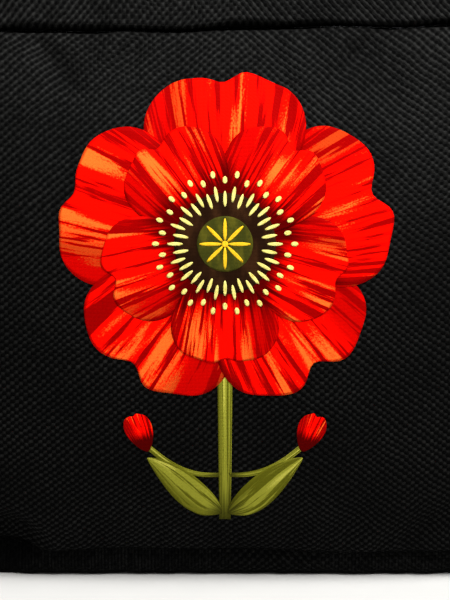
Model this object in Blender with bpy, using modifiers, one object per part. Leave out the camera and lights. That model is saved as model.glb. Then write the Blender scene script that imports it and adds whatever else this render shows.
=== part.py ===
"""A small padded zip pouch of black woven cloth: cloth, foam and lining panels, and a coil zip on top.

The pouch stands on its base at the world origin, with its front facing -Y and the zip along X.
Run with: blender --background --python part.py
"""

import math

import bmesh
import bpy

MM = 0.001

# Seam network: half width and half depth of the pouch at the base seam, at the belly and at the top seam.
BASE_SEAM_Z = 5.0 * MM
BELLY_Z = 55.0 * MM
TOP_SEAM_Z = 109.0 * MM
ZIP_EDGE_Z = 136.0 * MM
HALF_WIDTHS = (54.0 * MM, 61.0 * MM, 60.0 * MM)
HALF_DEPTHS = (17.0 * MM, 19.5 * MM, 17.0 * MM)
ZIP_HALF_WIDTH = 48.0 * MM
ZIP_SLOT_HALF = 6.0 * MM

# How far each panel's middle stands out of its seams.
PANEL_CROWN = 11.0 * MM
BAND_CROWN = 1.0 * MM
GUSSET_CROWN = 3.0 * MM
CROWN_POWER = 3.0
FULLEST_HEIGHT = 0.6

# The middle of the top seam keeps this share of the panel's crown. The band leans back this straight.
TOP_CROWN_SHARE = 0.3
BAND_STRAIGHTNESS = 0.7

# The base is flat, and its rim rolls up to the seam over these widths at the ends and along the sides.
END_ROLL = 14.0 * MM
SIDE_ROLL = 5.0 * MM

# Layers, from outside in: where each begins under the outer surface, and how thick it is.
CLOTH = (0.0, 0.6 * MM)
FOAM = (1.1 * MM, 3.0 * MM)
LINING = (4.6 * MM, 0.5 * MM)
SEAM_SPARE = 0.25 * MM

# Across the top seam the cloths lie nearly in line, so they end this share of the usual inset from it.
TOP_SEAM_SHARE = 0.2

# Zip: tape, coil, slider and pull tab.
FIT_GAP = 0.3 * MM
TAPE_TOP_Z = 134.5 * MM
TAPE_THICKNESS = 0.6 * MM
TAPE_INNER_Y = 1.6 * MM
TAPE_OUTER_Y = 7.2 * MM
TAPE_HALF_LENGTH = 47.0 * MM
COIL_OUTER_Y = 3.0 * MM
COIL_HEIGHT = 2.0 * MM
COIL_PITCH = 1.5 * MM
END_TAB_LENGTH = 7.0 * MM
END_TAB_HALF_WIDTH = 5.4 * MM
END_TAB_HEIGHT = 1.8 * MM
SLIDER_X = 28.0 * MM
SLIDER_LENGTH = 11.0 * MM
SLIDER_HALF_WIDTH = 4.2 * MM
PLATE_THICKNESS = 1.0 * MM
FLANGE_THICKNESS = 0.9 * MM
NECK_LENGTH = 2.4 * MM
NECK_HALF_WIDTH = 1.2 * MM
BRIDGE_RADIUS = 0.7 * MM
BRIDGE_HALF_LENGTH = 3.2 * MM
PULL_THICKNESS = 1.2 * MM
PULL_LENGTH = 27.0 * MM
PULL_HALF_WIDTH = 3.6 * MM
PULL_EYE_LENGTH = 5.0 * MM
PULL_EYE_HALF_WIDTH = 1.4 * MM
HINGE_RISE = 1.35 * MM
STOP_LENGTH = 1.8 * MM


# ---------------------------------------------------------------- scene helpers

def clear_scene():
    for item in list(bpy.data.objects):
        bpy.data.objects.remove(item, do_unlink=True)


def make_collection(name):
    collection = bpy.data.collections.new(name)
    bpy.context.scene.collection.children.link(collection)
    return collection


def make_material(name, colour, roughness, metallic=0.0):
    material = bpy.data.materials.new(name)
    material.use_nodes = True
    shader = material.node_tree.nodes["Principled BSDF"]
    shader.inputs["Base Color"].default_value = (*colour, 1.0)
    shader.inputs["Roughness"].default_value = roughness
    shader.inputs["Metallic"].default_value = metallic
    return material


def add_object(name, mesh, material, collection):
    piece = bpy.data.objects.new(name, mesh)
    mesh.materials.clear()
    mesh.materials.append(material)
    collection.objects.link(piece)
    return piece


def mesh_from(bm, name):
    mesh = bpy.data.meshes.new(name)
    bm.to_mesh(mesh)
    bm.free()
    return mesh


# ---------------------------------------------------------------- seam network

def through(values, z):
    """The quadratic through three values, at the base seam, the belly and the top seam."""
    low, mid, high = values
    z0, z1, z2 = BASE_SEAM_Z, BELLY_Z, TOP_SEAM_Z
    at_low = low * (z - z1) * (z - z2) / ((z0 - z1) * (z0 - z2))
    at_mid = mid * (z - z0) * (z - z2) / ((z1 - z0) * (z1 - z2))
    at_high = high * (z - z0) * (z - z1) / ((z2 - z0) * (z2 - z1))
    return at_low + at_mid + at_high


def shoulder(angle):
    """Half width, half depth and height on the shoulder: the angle is 0 at the top seam, 90 at the zip."""
    width = ZIP_HALF_WIDTH + (HALF_WIDTHS[2] - ZIP_HALF_WIDTH) * math.cos(angle)
    depth = ZIP_SLOT_HALF + (HALF_DEPTHS[2] - ZIP_SLOT_HALF) * math.cos(angle)
    height = TOP_SEAM_Z + (ZIP_EDGE_Z - TOP_SEAM_Z) * math.sin(angle)
    return width, depth, height


def shoulder_normal(reach, angle):
    """Outward and upward parts of the normal of a shoulder that leans in by reach."""
    outward = (ZIP_EDGE_Z - TOP_SEAM_Z) * math.cos(angle)
    upward = reach * math.sin(angle)
    length = math.hypot(outward, upward)
    return outward / length, upward / length


def crown(s):
    """1 in the middle of a panel and 0 at its edges, s running from -1 to 1, with a finite slope there."""
    return 1.0 - abs(s) ** CROWN_POWER


def rise(v):
    """Crown up a panel: v from 0 at the base seam to 1 at the top seam, fullest at FULLEST_HEIGHT."""
    if v < FULLEST_HEIGHT:
        return 1.0 - ((FULLEST_HEIGHT - v) / FULLEST_HEIGHT) ** 2.2
    return 1.0 - (1.0 - TOP_CROWN_SHARE) * ((v - FULLEST_HEIGHT) / (1.0 - FULLEST_HEIGHT)) ** 2


def shoulder_depth(u, angle):
    """Half depth of the shoulder: a quarter ellipse at its two ends, and nearly straight in the middle."""
    foot = HALF_DEPTHS[2] + PANEL_CROWN * TOP_CROWN_SHARE * crown(u)
    straight = BAND_STRAIGHTNESS * crown(u)
    share = (1.0 - straight) * math.cos(angle) + straight * (1.0 - math.sin(angle))
    return ZIP_SLOT_HALF + (foot - ZIP_SLOT_HALF) * share


# ---------------------------------------------------------------- cloth panels
# Each takes u and v from -1 to 1 and the inset from the seams, and gives a point of the outer surface.

def panel_point(u, v, inset):
    up = 0.5 + 0.5 * v
    z = BASE_SEAM_Z + inset + (TOP_SEAM_Z - BASE_SEAM_Z - (1.0 + TOP_SEAM_SHARE) * inset) * up
    x = (through(HALF_WIDTHS, z) - inset) * u
    y = -(through(HALF_DEPTHS, z) + PANEL_CROWN * crown(u) * rise(up))
    return x, y, z


def band_point(u, v, inset):
    lean = HALF_DEPTHS[2] - ZIP_SLOT_HALF
    first = TOP_SEAM_SHARE * inset / (ZIP_EDGE_Z - TOP_SEAM_Z)
    last = 0.5 * math.pi - inset / lean
    angle = first + (last - first) * (0.5 + 0.5 * v)
    width, _, z = shoulder(angle)
    outward, upward = shoulder_normal(lean, angle)
    swell = BAND_CROWN * crown(u) * (1.0 - v ** 2)
    return (width - inset) * u, -(shoulder_depth(u, angle) + swell * outward), z + swell * upward


def gusset_point(u, v, inset):
    """u runs across the gusset and v up it. The lower three quarters of v end level with the top seam."""
    bend = 0.5
    swell = GUSSET_CROWN * crown(u) * crown(v)
    if v <= bend:
        up = (v + 1.0) / (bend + 1.0)
        z = BASE_SEAM_Z + inset + (TOP_SEAM_Z - BASE_SEAM_Z - inset) * up
        return through(HALF_WIDTHS, z) + swell, (through(HALF_DEPTHS, z) - inset) * u, z
    lean = HALF_WIDTHS[2] - ZIP_HALF_WIDTH
    angle = (0.5 * math.pi - inset / lean) * (v - bend) / (1.0 - bend)
    width, depth, z = shoulder(angle)
    outward, upward = shoulder_normal(lean, angle)
    return width + swell * outward, (depth - inset) * u, z + swell * upward


def across_base(s, flat, half):
    """Distance from the base's middle for s from -1 to 1: half spans the flat, the rest the rim."""
    share = abs(s)
    if half <= flat:
        reach = half * share
    elif share <= 0.5:
        reach = 2.0 * flat * share
    else:
        reach = flat + (half - flat) * (2.0 * share - 1.0)
    return math.copysign(reach, s)


def base_point(u, v, inset):
    """The base seen from below, so u runs against X: flat, with a rim that rolls up to the seam."""
    flat_x = HALF_WIDTHS[0] - END_ROLL
    flat_y = HALF_DEPTHS[0] - SIDE_ROLL
    x = -across_base(u, flat_x, HALF_WIDTHS[0] - inset)
    y = across_base(v, flat_y, HALF_DEPTHS[0] - inset)
    past_x = max(0.0, abs(x) - flat_x) / END_ROLL
    past_y = max(0.0, abs(y) - flat_y) / SIDE_ROLL
    z = BASE_SEAM_Z * (1.0 - (1.0 - past_x ** 2) * (1.0 - past_y ** 2))
    return x, y, z


def panel_mesh(name, point, cells, inset):
    """An open grid whose corners are moved to point(u, v, inset)."""
    bm = bmesh.new()
    bmesh.ops.create_grid(bm, x_segments=cells[0], y_segments=cells[1], size=1.0)
    for corner in bm.verts:
        u, v = corner.co.x, corner.co.y
        corner.co = point(u, v, inset)
    return mesh_from(bm, name)


def add_layer(piece, layer):
    """Sinks an open panel to the layer's depth and gives it the layer's thickness, towards the inside."""
    depth, thickness = layer
    if depth > 0.0:
        sink = piece.modifiers.new("Sink", "DISPLACE")
        sink.direction = "NORMAL"
        sink.mid_level = 0.0
        sink.strength = -depth
    wall = piece.modifiers.new("Wall", "SOLIDIFY")
    wall.thickness = thickness
    wall.offset = -1.0
    wall.use_even_offset = True


def build_panels(layer_name, layer, cells, material, collection):
    """The seven panels of one layer: front and back, two top bands, two gussets and the base."""
    inset = layer[0] + layer[1] + SEAM_SPARE
    pairs = (
        ("panel", panel_point, ("front", "back"), cells["panel"]),
        ("top_band", band_point, ("front", "back"), cells["band"]),
        ("side_gusset", gusset_point, ("right", "left"), cells["gusset"]),
    )
    for kind, point, sides, grid in pairs:
        mesh = panel_mesh(f"{layer_name}_{kind}", point, grid, inset)
        for side, turn in zip(sides, (0.0, math.pi)):
            piece = add_object(f"{layer_name}_{kind}_{side}", mesh, material, collection)
            piece.rotation_euler.z = turn
            add_layer(piece, layer)
    mesh = panel_mesh(f"{layer_name}_base", base_point, cells["base"], inset)
    add_layer(add_object(f"{layer_name}_base", mesh, material, collection), layer)


# ---------------------------------------------------------------- zip

def box_mesh(name, low, high, rounding):
    """A box between two corners, with all its edges rounded."""
    bm = bmesh.new()
    bmesh.ops.create_cube(bm, size=1.0)
    for corner in bm.verts:
        for axis in range(3):
            corner.co[axis] = low[axis] + (high[axis] - low[axis]) * (corner.co[axis] + 0.5)
    bmesh.ops.bevel(bm, geom=bm.edges[:], offset=rounding, segments=2, profile=0.5, affect="EDGES")
    return mesh_from(bm, name)


def add_pair(name, low, high, rounding, material, collection):
    """Two like boxes, one in front of the zip's middle plane and one behind it."""
    for side, turn in (("front", -1.0), ("back", 1.0)):
        near, far = sorted((turn * low[1], turn * high[1]))
        mesh = box_mesh(f"{name}_{side}", (low[0], near, low[2]), (high[0], far, high[2]), rounding)
        add_object(f"{name}_{side}", mesh, material, collection)


def coil_mesh(name, side, shift):
    """A row of coil turns along X: a rounded bar whose height and width swell once a turn."""
    floor_z = TAPE_TOP_Z + FIT_GAP
    start = -ZIP_HALF_WIDTH + END_TAB_LENGTH + 2.0 * FIT_GAP
    end = SLIDER_X + 0.5 * SLIDER_LENGTH - NECK_LENGTH - 3.0 * FIT_GAP
    steps = 4 * round((end - start) / COIL_PITCH)
    inner = 0.5 * FIT_GAP
    bm = bmesh.new()
    rings = []
    for step in range(steps + 1):
        x = start + (end - start) * step / steps
        swell = 0.86 + 0.14 * math.cos(2.0 * math.pi * (step / 4.0 + shift))
        top = floor_z + COIL_HEIGHT * swell
        outer = inner + (COIL_OUTER_Y - inner) * swell
        section = (
            (inner, floor_z),
            (outer - 0.5 * MM, floor_z),
            (outer, floor_z + 0.6 * MM),
            (outer - 0.4 * MM, top - 0.4 * MM),
            (outer - 1.0 * MM, top),
            (inner + 0.5 * MM, top),
            (inner, top - 0.5 * MM),
        )
        rings.append([bm.verts.new((x, side * y, z)) for y, z in section])
    for first, second in zip(rings, rings[1:]):
        for index in range(len(first)):
            after = (index + 1) % len(first)
            bm.faces.new((first[index], first[after], second[after], second[index]))
    bm.faces.new(rings[0])
    bm.faces.new(rings[-1])
    bmesh.ops.recalc_face_normals(bm, faces=bm.faces[:])
    return mesh_from(bm, name)


def slider_levels():
    """Heights of the slider's lower plate, its upper plate, the pull tab's axis and the bridge's middle."""
    lower = TAPE_TOP_Z - TAPE_THICKNESS - FIT_GAP - PLATE_THICKNESS
    upper = TAPE_TOP_Z + FIT_GAP + COIL_HEIGHT + FIT_GAP
    axis = upper + PLATE_THICKNESS + HINGE_RISE
    bridge = axis + PULL_THICKNESS * math.sqrt(0.5) + FIT_GAP + BRIDGE_RADIUS
    return lower, upper, axis, bridge


def height_of(edge):
    return abs(edge.verts[0].co.z - edge.verts[1].co.z)


def slider_plate_mesh(name, floor_z):
    """A plate that widens from its tail to its two-lane mouth, with its corners and edges rounded."""
    bm = bmesh.new()
    bmesh.ops.create_cube(bm, size=1.0)
    for corner in bm.verts:
        mouth = corner.co.x > 0.0
        corner.co.x = SLIDER_X + SLIDER_LENGTH * corner.co.x
        corner.co.y *= 2.0 * SLIDER_HALF_WIDTH * (1.12 if mouth else 1.0)
        corner.co.z = floor_z + PLATE_THICKNESS * (corner.co.z + 0.5)
    upright = [edge for edge in bm.edges if height_of(edge) > 0.5 * PLATE_THICKNESS]
    bmesh.ops.bevel(bm, geom=upright, offset=1.6 * MM, segments=4, profile=0.5, affect="EDGES")
    rims = [edge for edge in bm.edges if height_of(edge) < 0.01 * MM]
    bmesh.ops.bevel(bm, geom=rims, offset=0.2 * MM, segments=1, profile=0.5, affect="EDGES")
    return mesh_from(bm, name)


def solid_from_curve(name, curve, collection):
    """The closed mesh of a curve, in place of the curve."""
    guide = bpy.data.objects.new(name, curve)
    collection.objects.link(guide)
    graph = bpy.context.evaluated_depsgraph_get()
    mesh = bpy.data.meshes.new_from_object(guide.evaluated_get(graph))
    bpy.data.objects.remove(guide, do_unlink=True)
    bm = bmesh.new()
    bm.from_mesh(mesh)
    bmesh.ops.remove_doubles(bm, verts=bm.verts[:], dist=0.001 * MM)
    bmesh.ops.recalc_face_normals(bm, faces=bm.faces[:])
    bm.to_mesh(mesh)
    bm.free()
    return mesh


def bridge_curve():
    """The slider's bridge: a round wire that rises, runs along X over the pull tab's bar, and comes down."""
    _, upper, _, top = slider_levels()
    corner = 1.5 * MM
    turns = [math.radians(angle) for angle in (0.0, 22.5, 45.0, 67.5, 90.0)]
    half = [(-BRIDGE_HALF_LENGTH, upper + 0.5 * PLATE_THICKNESS)]
    for a in turns:
        half.append((-BRIDGE_HALF_LENGTH + corner * (1.0 - math.cos(a)), top - corner * (1.0 - math.sin(a))))
    route = half + [(-x, z) for x, z in reversed(half)]
    curve = bpy.data.curves.new("slider_bridge", "CURVE")
    curve.dimensions = "3D"
    curve.bevel_depth = BRIDGE_RADIUS
    curve.bevel_resolution = 2
    curve.use_fill_caps = True
    spline = curve.splines.new("POLY")
    spline.points.add(len(route) - 1)
    for point, (x, z) in zip(spline.points, route):
        point.co = (SLIDER_X + x, 0.0, z, 1.0)
    return curve


def build_slider(metal, collection, cutters):
    """Two plates joined by the neck at the mouth, with side flanges under the upper and a bridge on it."""
    lower, upper, _, _ = slider_levels()
    slider = add_object("zip_slider", slider_plate_mesh("zip_slider", upper), metal, collection)
    neck_end = SLIDER_X + 0.5 * SLIDER_LENGTH - 0.5 * MM
    inside = 0.4 * MM
    neck_low = (neck_end - NECK_LENGTH, -NECK_HALF_WIDTH, lower + inside)
    neck_high = (neck_end, NECK_HALF_WIDTH, upper + inside)
    added = [slider_plate_mesh("lower_plate", lower), box_mesh("neck", neck_low, neck_high, 0.3 * MM)]
    flange_start = SLIDER_X - 0.5 * SLIDER_LENGTH + 1.6 * MM
    flange_end = SLIDER_X + 0.5 * SLIDER_LENGTH - 2.0 * MM
    wall = COIL_OUTER_Y + FIT_GAP
    for side in (-1.0, 1.0):
        near, far = sorted((side * wall, side * (wall + FLANGE_THICKNESS)))
        low = (flange_start, near, TAPE_TOP_Z + FIT_GAP)
        high = (flange_end, far, upper + inside)
        added.append(box_mesh("flange", low, high, 0.15 * MM))
    added.append(solid_from_curve("slider_bridge", bridge_curve(), cutters))
    for mesh in added:
        helper = add_object(f"join_{mesh.name}", mesh, metal, cutters)
        helper.hide_render = True
        helper.display_type = "WIRE"
        join = slider.modifiers.new("Join", "BOOLEAN")
        join.operation = "UNION"
        join.object = helper


def pull_tab_curve():
    """The pull tab, flat along -X from its axis at the origin: a rounded blade with an eye."""
    bar = 0.5 * PULL_THICKNESS
    arm = PULL_EYE_HALF_WIDTH + PULL_THICKNESS
    eye_end = -bar - PULL_EYE_LENGTH
    nose_x = bar - PULL_LENGTH + PULL_HALF_WIDTH
    nose = [math.radians(angle) for angle in range(90, 271, 15)]
    outline = [
        (bar, -arm + 0.5 * MM),
        (bar, arm - 0.5 * MM),
        (bar - 0.5 * MM, arm),
        (eye_end + 0.8 * MM, arm),
        (eye_end - 1.6 * MM, PULL_HALF_WIDTH),
        *[(nose_x + PULL_HALF_WIDTH * math.cos(a), PULL_HALF_WIDTH * math.sin(a)) for a in nose],
        (eye_end - 1.6 * MM, -PULL_HALF_WIDTH),
        (eye_end + 0.8 * MM, -arm),
        (bar - 0.5 * MM, -arm),
    ]
    eye = [
        (-bar, -PULL_EYE_HALF_WIDTH),
        (-bar, PULL_EYE_HALF_WIDTH),
        (-bar - PULL_EYE_LENGTH, PULL_EYE_HALF_WIDTH),
        (-bar - PULL_EYE_LENGTH, -PULL_EYE_HALF_WIDTH),
    ]
    curve = bpy.data.curves.new("pull_tab", "CURVE")
    curve.dimensions = "2D"
    curve.fill_mode = "BOTH"
    curve.extrude = 0.5 * PULL_THICKNESS
    for loop in (outline, eye):
        spline = curve.splines.new("POLY")
        spline.points.add(len(loop) - 1)
        spline.use_cyclic_u = True
        for point, (x, y) in zip(spline.points, loop):
            point.co = (x, y, 0.0, 1.0)
    return curve


def build_pull_tab(metal, collection, cutters):
    """The tab lies back over the closed chain: its tip rests a fit gap above the coil."""
    _, _, axis, _ = slider_levels()
    coil_top = TAPE_TOP_Z + FIT_GAP + COIL_HEIGHT
    drop = axis - coil_top - FIT_GAP - 0.5 * PULL_THICKNESS
    tab = add_object("pull_tab", solid_from_curve("pull_tab", pull_tab_curve(), cutters), metal, collection)
    tab.location = (SLIDER_X, 0.0, axis)
    tab.rotation_euler.y = -math.asin(drop / (PULL_LENGTH - 0.5 * PULL_THICKNESS))


def build_zip(tape, coil, metal, cloth, collection, cutters):
    low = (-TAPE_HALF_LENGTH, TAPE_INNER_Y, TAPE_TOP_Z - TAPE_THICKNESS)
    high = (TAPE_HALF_LENGTH, TAPE_OUTER_Y, TAPE_TOP_Z)
    add_pair("zip_tape", low, high, 0.1 * MM, tape, collection)
    for side_name, side, shift in (("front", -1.0, 0.0), ("back", 1.0, 0.5)):
        name = f"zip_coil_{side_name}"
        add_object(name, coil_mesh(name, side, shift), coil, collection)
    stop_x = SLIDER_X + 0.5 * SLIDER_LENGTH + 2.0 * FIT_GAP
    low = (stop_x, 0.9 * MM, TAPE_TOP_Z + FIT_GAP)
    high = (stop_x + STOP_LENGTH, COIL_OUTER_Y, TAPE_TOP_Z + 1.8 * MM)
    add_pair("zip_top_stop", low, high, 0.3 * MM, metal, collection)
    build_slider(metal, collection, cutters)
    build_pull_tab(metal, collection, cutters)
    tab_start = ZIP_HALF_WIDTH - END_TAB_LENGTH
    for side_name, side in (("left", -1.0), ("right", 1.0)):
        near, far = sorted((side * tab_start, side * (ZIP_HALF_WIDTH + FIT_GAP)))
        low = (near, -END_TAB_HALF_WIDTH, TAPE_TOP_Z + FIT_GAP)
        high = (far, END_TAB_HALF_WIDTH, TAPE_TOP_Z + FIT_GAP + END_TAB_HEIGHT)
        name = f"zip_end_tab_{side_name}"
        add_object(name, box_mesh(name, low, high, 0.5 * MM), cloth, collection)


def shade_round(collection):
    for piece in collection.objects:
        piece.data.shade_smooth()
        piece.data.set_sharp_from_angle(angle=math.radians(35.0))


def main():
    clear_scene()
    pouch = make_collection("zip_pouch")
    cutters = make_collection("joined_shapes")
    cloth = make_material("woven_cloth", (0.012, 0.012, 0.013), 0.85)
    foam = make_material("padding_foam", (0.55, 0.55, 0.53), 0.95)
    lining = make_material("lining_cloth", (0.03, 0.03, 0.032), 0.7)
    tape = make_material("zip_tape", (0.01, 0.01, 0.011), 0.9)
    coil = make_material("zip_coil", (0.012, 0.012, 0.012), 0.45)
    metal = make_material("slider_metal", (0.42, 0.42, 0.43), 0.35, 1.0)

    fine = {"panel": (14, 14), "band": (14, 5), "gusset": (6, 16), "base": (12, 8)}
    plain = {"panel": (10, 10), "band": (10, 4), "gusset": (5, 12), "base": (12, 4)}
    build_panels("cloth", CLOTH, fine, cloth, pouch)
    build_panels("foam", FOAM, plain, foam, pouch)
    build_panels("lining", LINING, plain, lining, pouch)
    build_zip(tape, coil, metal, cloth, pouch, cutters)
    shade_round(pouch)


main()
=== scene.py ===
"""Looks of a small padded zip pouch: black woven cloth, a printed blossom, a coil zip and its metal."""

import functools
import math

import bmesh
import bpy
import mathutils
import numpy as np
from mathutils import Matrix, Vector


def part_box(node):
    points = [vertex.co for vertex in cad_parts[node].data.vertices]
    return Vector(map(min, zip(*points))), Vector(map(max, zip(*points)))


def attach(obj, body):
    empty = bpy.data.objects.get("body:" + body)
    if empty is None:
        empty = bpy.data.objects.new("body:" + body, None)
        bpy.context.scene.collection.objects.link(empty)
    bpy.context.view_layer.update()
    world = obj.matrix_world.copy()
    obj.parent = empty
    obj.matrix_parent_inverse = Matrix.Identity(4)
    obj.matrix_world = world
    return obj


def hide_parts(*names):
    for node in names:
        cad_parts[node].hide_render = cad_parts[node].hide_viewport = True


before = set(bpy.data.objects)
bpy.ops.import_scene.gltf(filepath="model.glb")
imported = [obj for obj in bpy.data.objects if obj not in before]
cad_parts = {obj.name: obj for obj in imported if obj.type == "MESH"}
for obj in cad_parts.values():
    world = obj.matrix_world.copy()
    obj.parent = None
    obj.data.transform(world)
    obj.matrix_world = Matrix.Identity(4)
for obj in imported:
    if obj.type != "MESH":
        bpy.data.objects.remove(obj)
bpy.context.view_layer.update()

bl_info = {
    "name": "Zip Pouch Looks",
    "version": (1, 0, 0),
    "blender": (4, 5, 0),
    "location": "View3D > Sidebar > Zip Pouch",
    "description": "Builds the cloth, print, zip and stage of a small padded pouch around its solid model",
    "category": "Object",
}

MM = 0.001
BODY = "pouch"

# Seam network, as the solids have it: half widths and half depths at the base seam, belly and top seam.
BASE_SEAM_Z = 5.0 * MM
BELLY_Z = 55.0 * MM
TOP_SEAM_Z = 109.0 * MM
ZIP_EDGE_Z = 136.0 * MM
HALF_WIDTHS = (54.0 * MM, 61.0 * MM, 60.0 * MM)
HALF_DEPTHS = (17.0 * MM, 19.5 * MM, 17.0 * MM)
ZIP_HALF_WIDTH = 48.0 * MM
ZIP_SLOT_HALF = 6.0 * MM
PANEL_CROWN = 11.0 * MM
BAND_CROWN = 1.0 * MM
GUSSET_CROWN = 3.0 * MM
CROWN_POWER = 3.0
FULLEST_HEIGHT = 0.6
TOP_CROWN_SHARE = 0.3
BAND_STRAIGHTNESS = 0.7
END_ROLL = 14.0 * MM
SIDE_ROLL = 5.0 * MM

PANEL_HEIGHT = TOP_SEAM_Z - BASE_SEAM_Z

# About how long the band's curve is from the top seam to the zip: the chord and a seventh.
BAND_LENGTH = 1.15 * (ZIP_EDGE_Z - TOP_SEAM_Z)

# Coarse grid of the cloth before it is filled out: steps across, up the panels, up the shoulder, and deep.
ACROSS = 50
UP = 44
SHOULDER = 14
DEPTH = 16

# Filling the cloth out: the pouch is enlarged for the simulation, and no point may move further than a cap.
SIM_SCALE = 5.0
SIM_FRAMES = 20
SIM_SETTINGS = {
    "quality": 6,
    "mass": 0.3,
    "tension_stiffness": 25.0,
    "compression_stiffness": 25.0,
    "shear_stiffness": 12.0,
    "bending_stiffness": 4.0,
    "use_pressure": True,
    "uniform_pressure_force": 4.0,
    "shrink_min": -0.02,
}
PUFF_CAP = 2.2 * MM
BAND_PUFF_CAP = 0.7 * MM

# Sewn seams: how deep and wide the stitches pull the cloth in. The top seam is a deeper slit with a lip on
# either side, and the band's lip hangs over it.
SEAM_DEPTH = 1.3 * MM
SEAM_WIDTH = 1.0 * MM
SLIT_DEPTH = 2.5 * MM
SLIT_WIDTHS = {"panel": 0.4 * MM, "top_band": 0.38 * MM}
LIP_DEPTHS = {"panel": 0.5 * MM, "top_band": -0.35 * MM}
LIP_WIDTH = 1.1 * MM
ZIP_FOLD_DEPTH = 1.7 * MM

# Unevenness: gathers beside seams, dimples in the padding, folds below the top seam and a pushed-in corner.
PUCKER_DEPTH = 0.28 * MM
PUCKER_REACH = 5.0 * MM
PUCKER_START = 0.8 * MM
DIMPLE_DEPTH = 0.32 * MM
DIMPLE_START = 7.0 * MM
FOLD_DEPTH = 1.4 * MM
FOLD_HALF_WIDTH = 2.4 * MM
FOLD_REACH = 3.6 * MM
CORNER_DENT = 4.6 * MM
CORNER_PLACE = (-44.0 * MM, 7.0 * MM)
CORNER_RADII = (7.0 * MM, 6.2 * MM)

# How steeply the top seam climbs to the right, and how far from a seam the cloth still follows its wandering.
SEAM_RISE = 0.0178
TOP_SEAM_REACH = 9.0 * MM
BASE_SEAM_REACHES = {"panel": 6.0 * MM, "base": 1.5 * MM}

# The finished cloth: its thickness, and the steps of its grid.
CLOTH_WALL = 0.6 * MM
CLOTH_STEP = 1.0 * MM

# Weave: spacing of the upright and the level threads, and the height in the weave at which a band starts.
WARP_PITCH_MM = 0.85
WEFT_PITCH_MM = 0.745
BAND_THREADS_START_MM = 104.0

# The front panel is cut a little off the grain: its level threads climb to the right of a place across it
# by this times the distance squared, in millimetres.
GRAIN_CLIMB = 0.0007
GRAIN_START_MM = -5.0

# Padding and lining behind each panel: how far under the cloth's outside the foam starts, its full
# thickness, the room it leaves for the gathers, the lining's thickness, and how far each stays from the
# seams.
FOAM_START = 0.75 * MM
FOAM_THICK = 3.0 * MM
SEAM_CLEARANCE = 0.6 * MM
LINING_THICK = 0.4 * MM
FOAM_INSET = 1.2 * MM
LINING_INSET = 2.6 * MM

# Print: its film's thickness, and how far over the cloth each layer lies, in millimetres.
PRINT_FILM = 0.03 * MM
LIFTS_MM = {
    "stalk": 0.06,
    "leaf": 0.09,
    "outer_petal": 0.10,
    "bud": 0.12,
    "inner_petal": 0.18,
    "ground": 0.25,
    "stamen": 0.285,
    "pod": 0.29,
    "ray": 0.33,
    "dot": 0.36,
}
PETALS = 5
STAMENS = 36
RAYS = 8

# Zip: the coils' pitch, filament radius and stations a turn, how far they reach past the middle, how square
# their turns are, and the half depth of the folded straps at the ends.
COIL_PITCH = 1.5 * MM
COIL_FILAMENT = 0.36 * MM
COIL_STATIONS = 14
COIL_OVERLAP = 0.25 * MM
COIL_FLATNESS = 0.8
TAB_HALF_DEPTH = 5.4 * MM

# Topstitching beside the zip: pitch and length of a stitch, the thread's radius, how far it rises over the
# cloth and sinks in at its ends, and how far it lies below the zip.
STITCH_PITCH = 3.1 * MM
STITCH_LENGTH = 2.3 * MM
STITCH_RADIUS = 0.17 * MM
STITCH_RISE = 0.18 * MM
STITCH_SINK = 0.25 * MM
STITCH_INSET = 2.4 * MM

# How far threads wander: at most 9 times this over some 10 mm, and 1.4 times this over 1 or 2 mm.
THREAD_WANDER_MM = 0.16

# The steps from low to high that a node maps smoothly.
SMOOTH = {"interpolation_type": "SMOOTHSTEP"}


# ---------------------------------------------------------------- seam network and patches
# A patch gives the points for s, from -1 to 1 across, and t, from 0 to 1 upwards, or to 2 on a gusset.

def through(values, z):
    """The quadratic that takes the three values at the base seam, the belly and the top seam."""
    low, mid, high = values
    z0, z1, z2 = BASE_SEAM_Z, BELLY_Z, TOP_SEAM_Z
    return (
        low * (z - z1) * (z - z2) / ((z0 - z1) * (z0 - z2))
        + mid * (z - z0) * (z - z2) / ((z1 - z0) * (z1 - z2))
        + high * (z - z0) * (z - z1) / ((z2 - z0) * (z2 - z1))
    )


def crown(s):
    """One minus |s| cubed: full in the middle and nothing at the edges."""
    return 1.0 - np.abs(s) ** CROWN_POWER


def rise(t):
    """Crown up a panel: two falling powers that meet at the fullest height. The upper one ends part way."""
    below = np.clip((FULLEST_HEIGHT - t) / FULLEST_HEIGHT, 0.0, 1.0) ** 2.2
    above = np.clip((t - FULLEST_HEIGHT) / (1.0 - FULLEST_HEIGHT), 0.0, 1.0) ** 2
    return 1.0 - below - (1.0 - TOP_CROWN_SHARE) * above


def shoulder(angle):
    """Quarter ellipses from the top seam to the zip: half width, half depth and height at an angle."""
    width = ZIP_HALF_WIDTH + (HALF_WIDTHS[2] - ZIP_HALF_WIDTH) * np.cos(angle)
    depth = ZIP_SLOT_HALF + (HALF_DEPTHS[2] - ZIP_SLOT_HALF) * np.cos(angle)
    return width, depth, TOP_SEAM_Z + (ZIP_EDGE_Z - TOP_SEAM_Z) * np.sin(angle)


def shoulder_depth(s, angle):
    """Half depth of the shoulder: a quarter ellipse, blended by the crown into a nearly straight slope."""
    foot = HALF_DEPTHS[2] + PANEL_CROWN * TOP_CROWN_SHARE * crown(s)
    straight = BAND_STRAIGHTNESS * crown(s)
    share = (1.0 - straight) * np.cos(angle) + straight * (1.0 - np.sin(angle))
    return ZIP_SLOT_HALF + (foot - ZIP_SLOT_HALF) * share


def shoulder_normal(lean, angle):
    """Outward and upward parts of the unit normal of a quarter ellipse that leans in by lean."""
    outward = (ZIP_EDGE_Z - TOP_SEAM_Z) * np.cos(angle)
    upward = lean * np.sin(angle)
    length = np.hypot(outward, upward)
    return outward / length, upward / length


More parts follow.
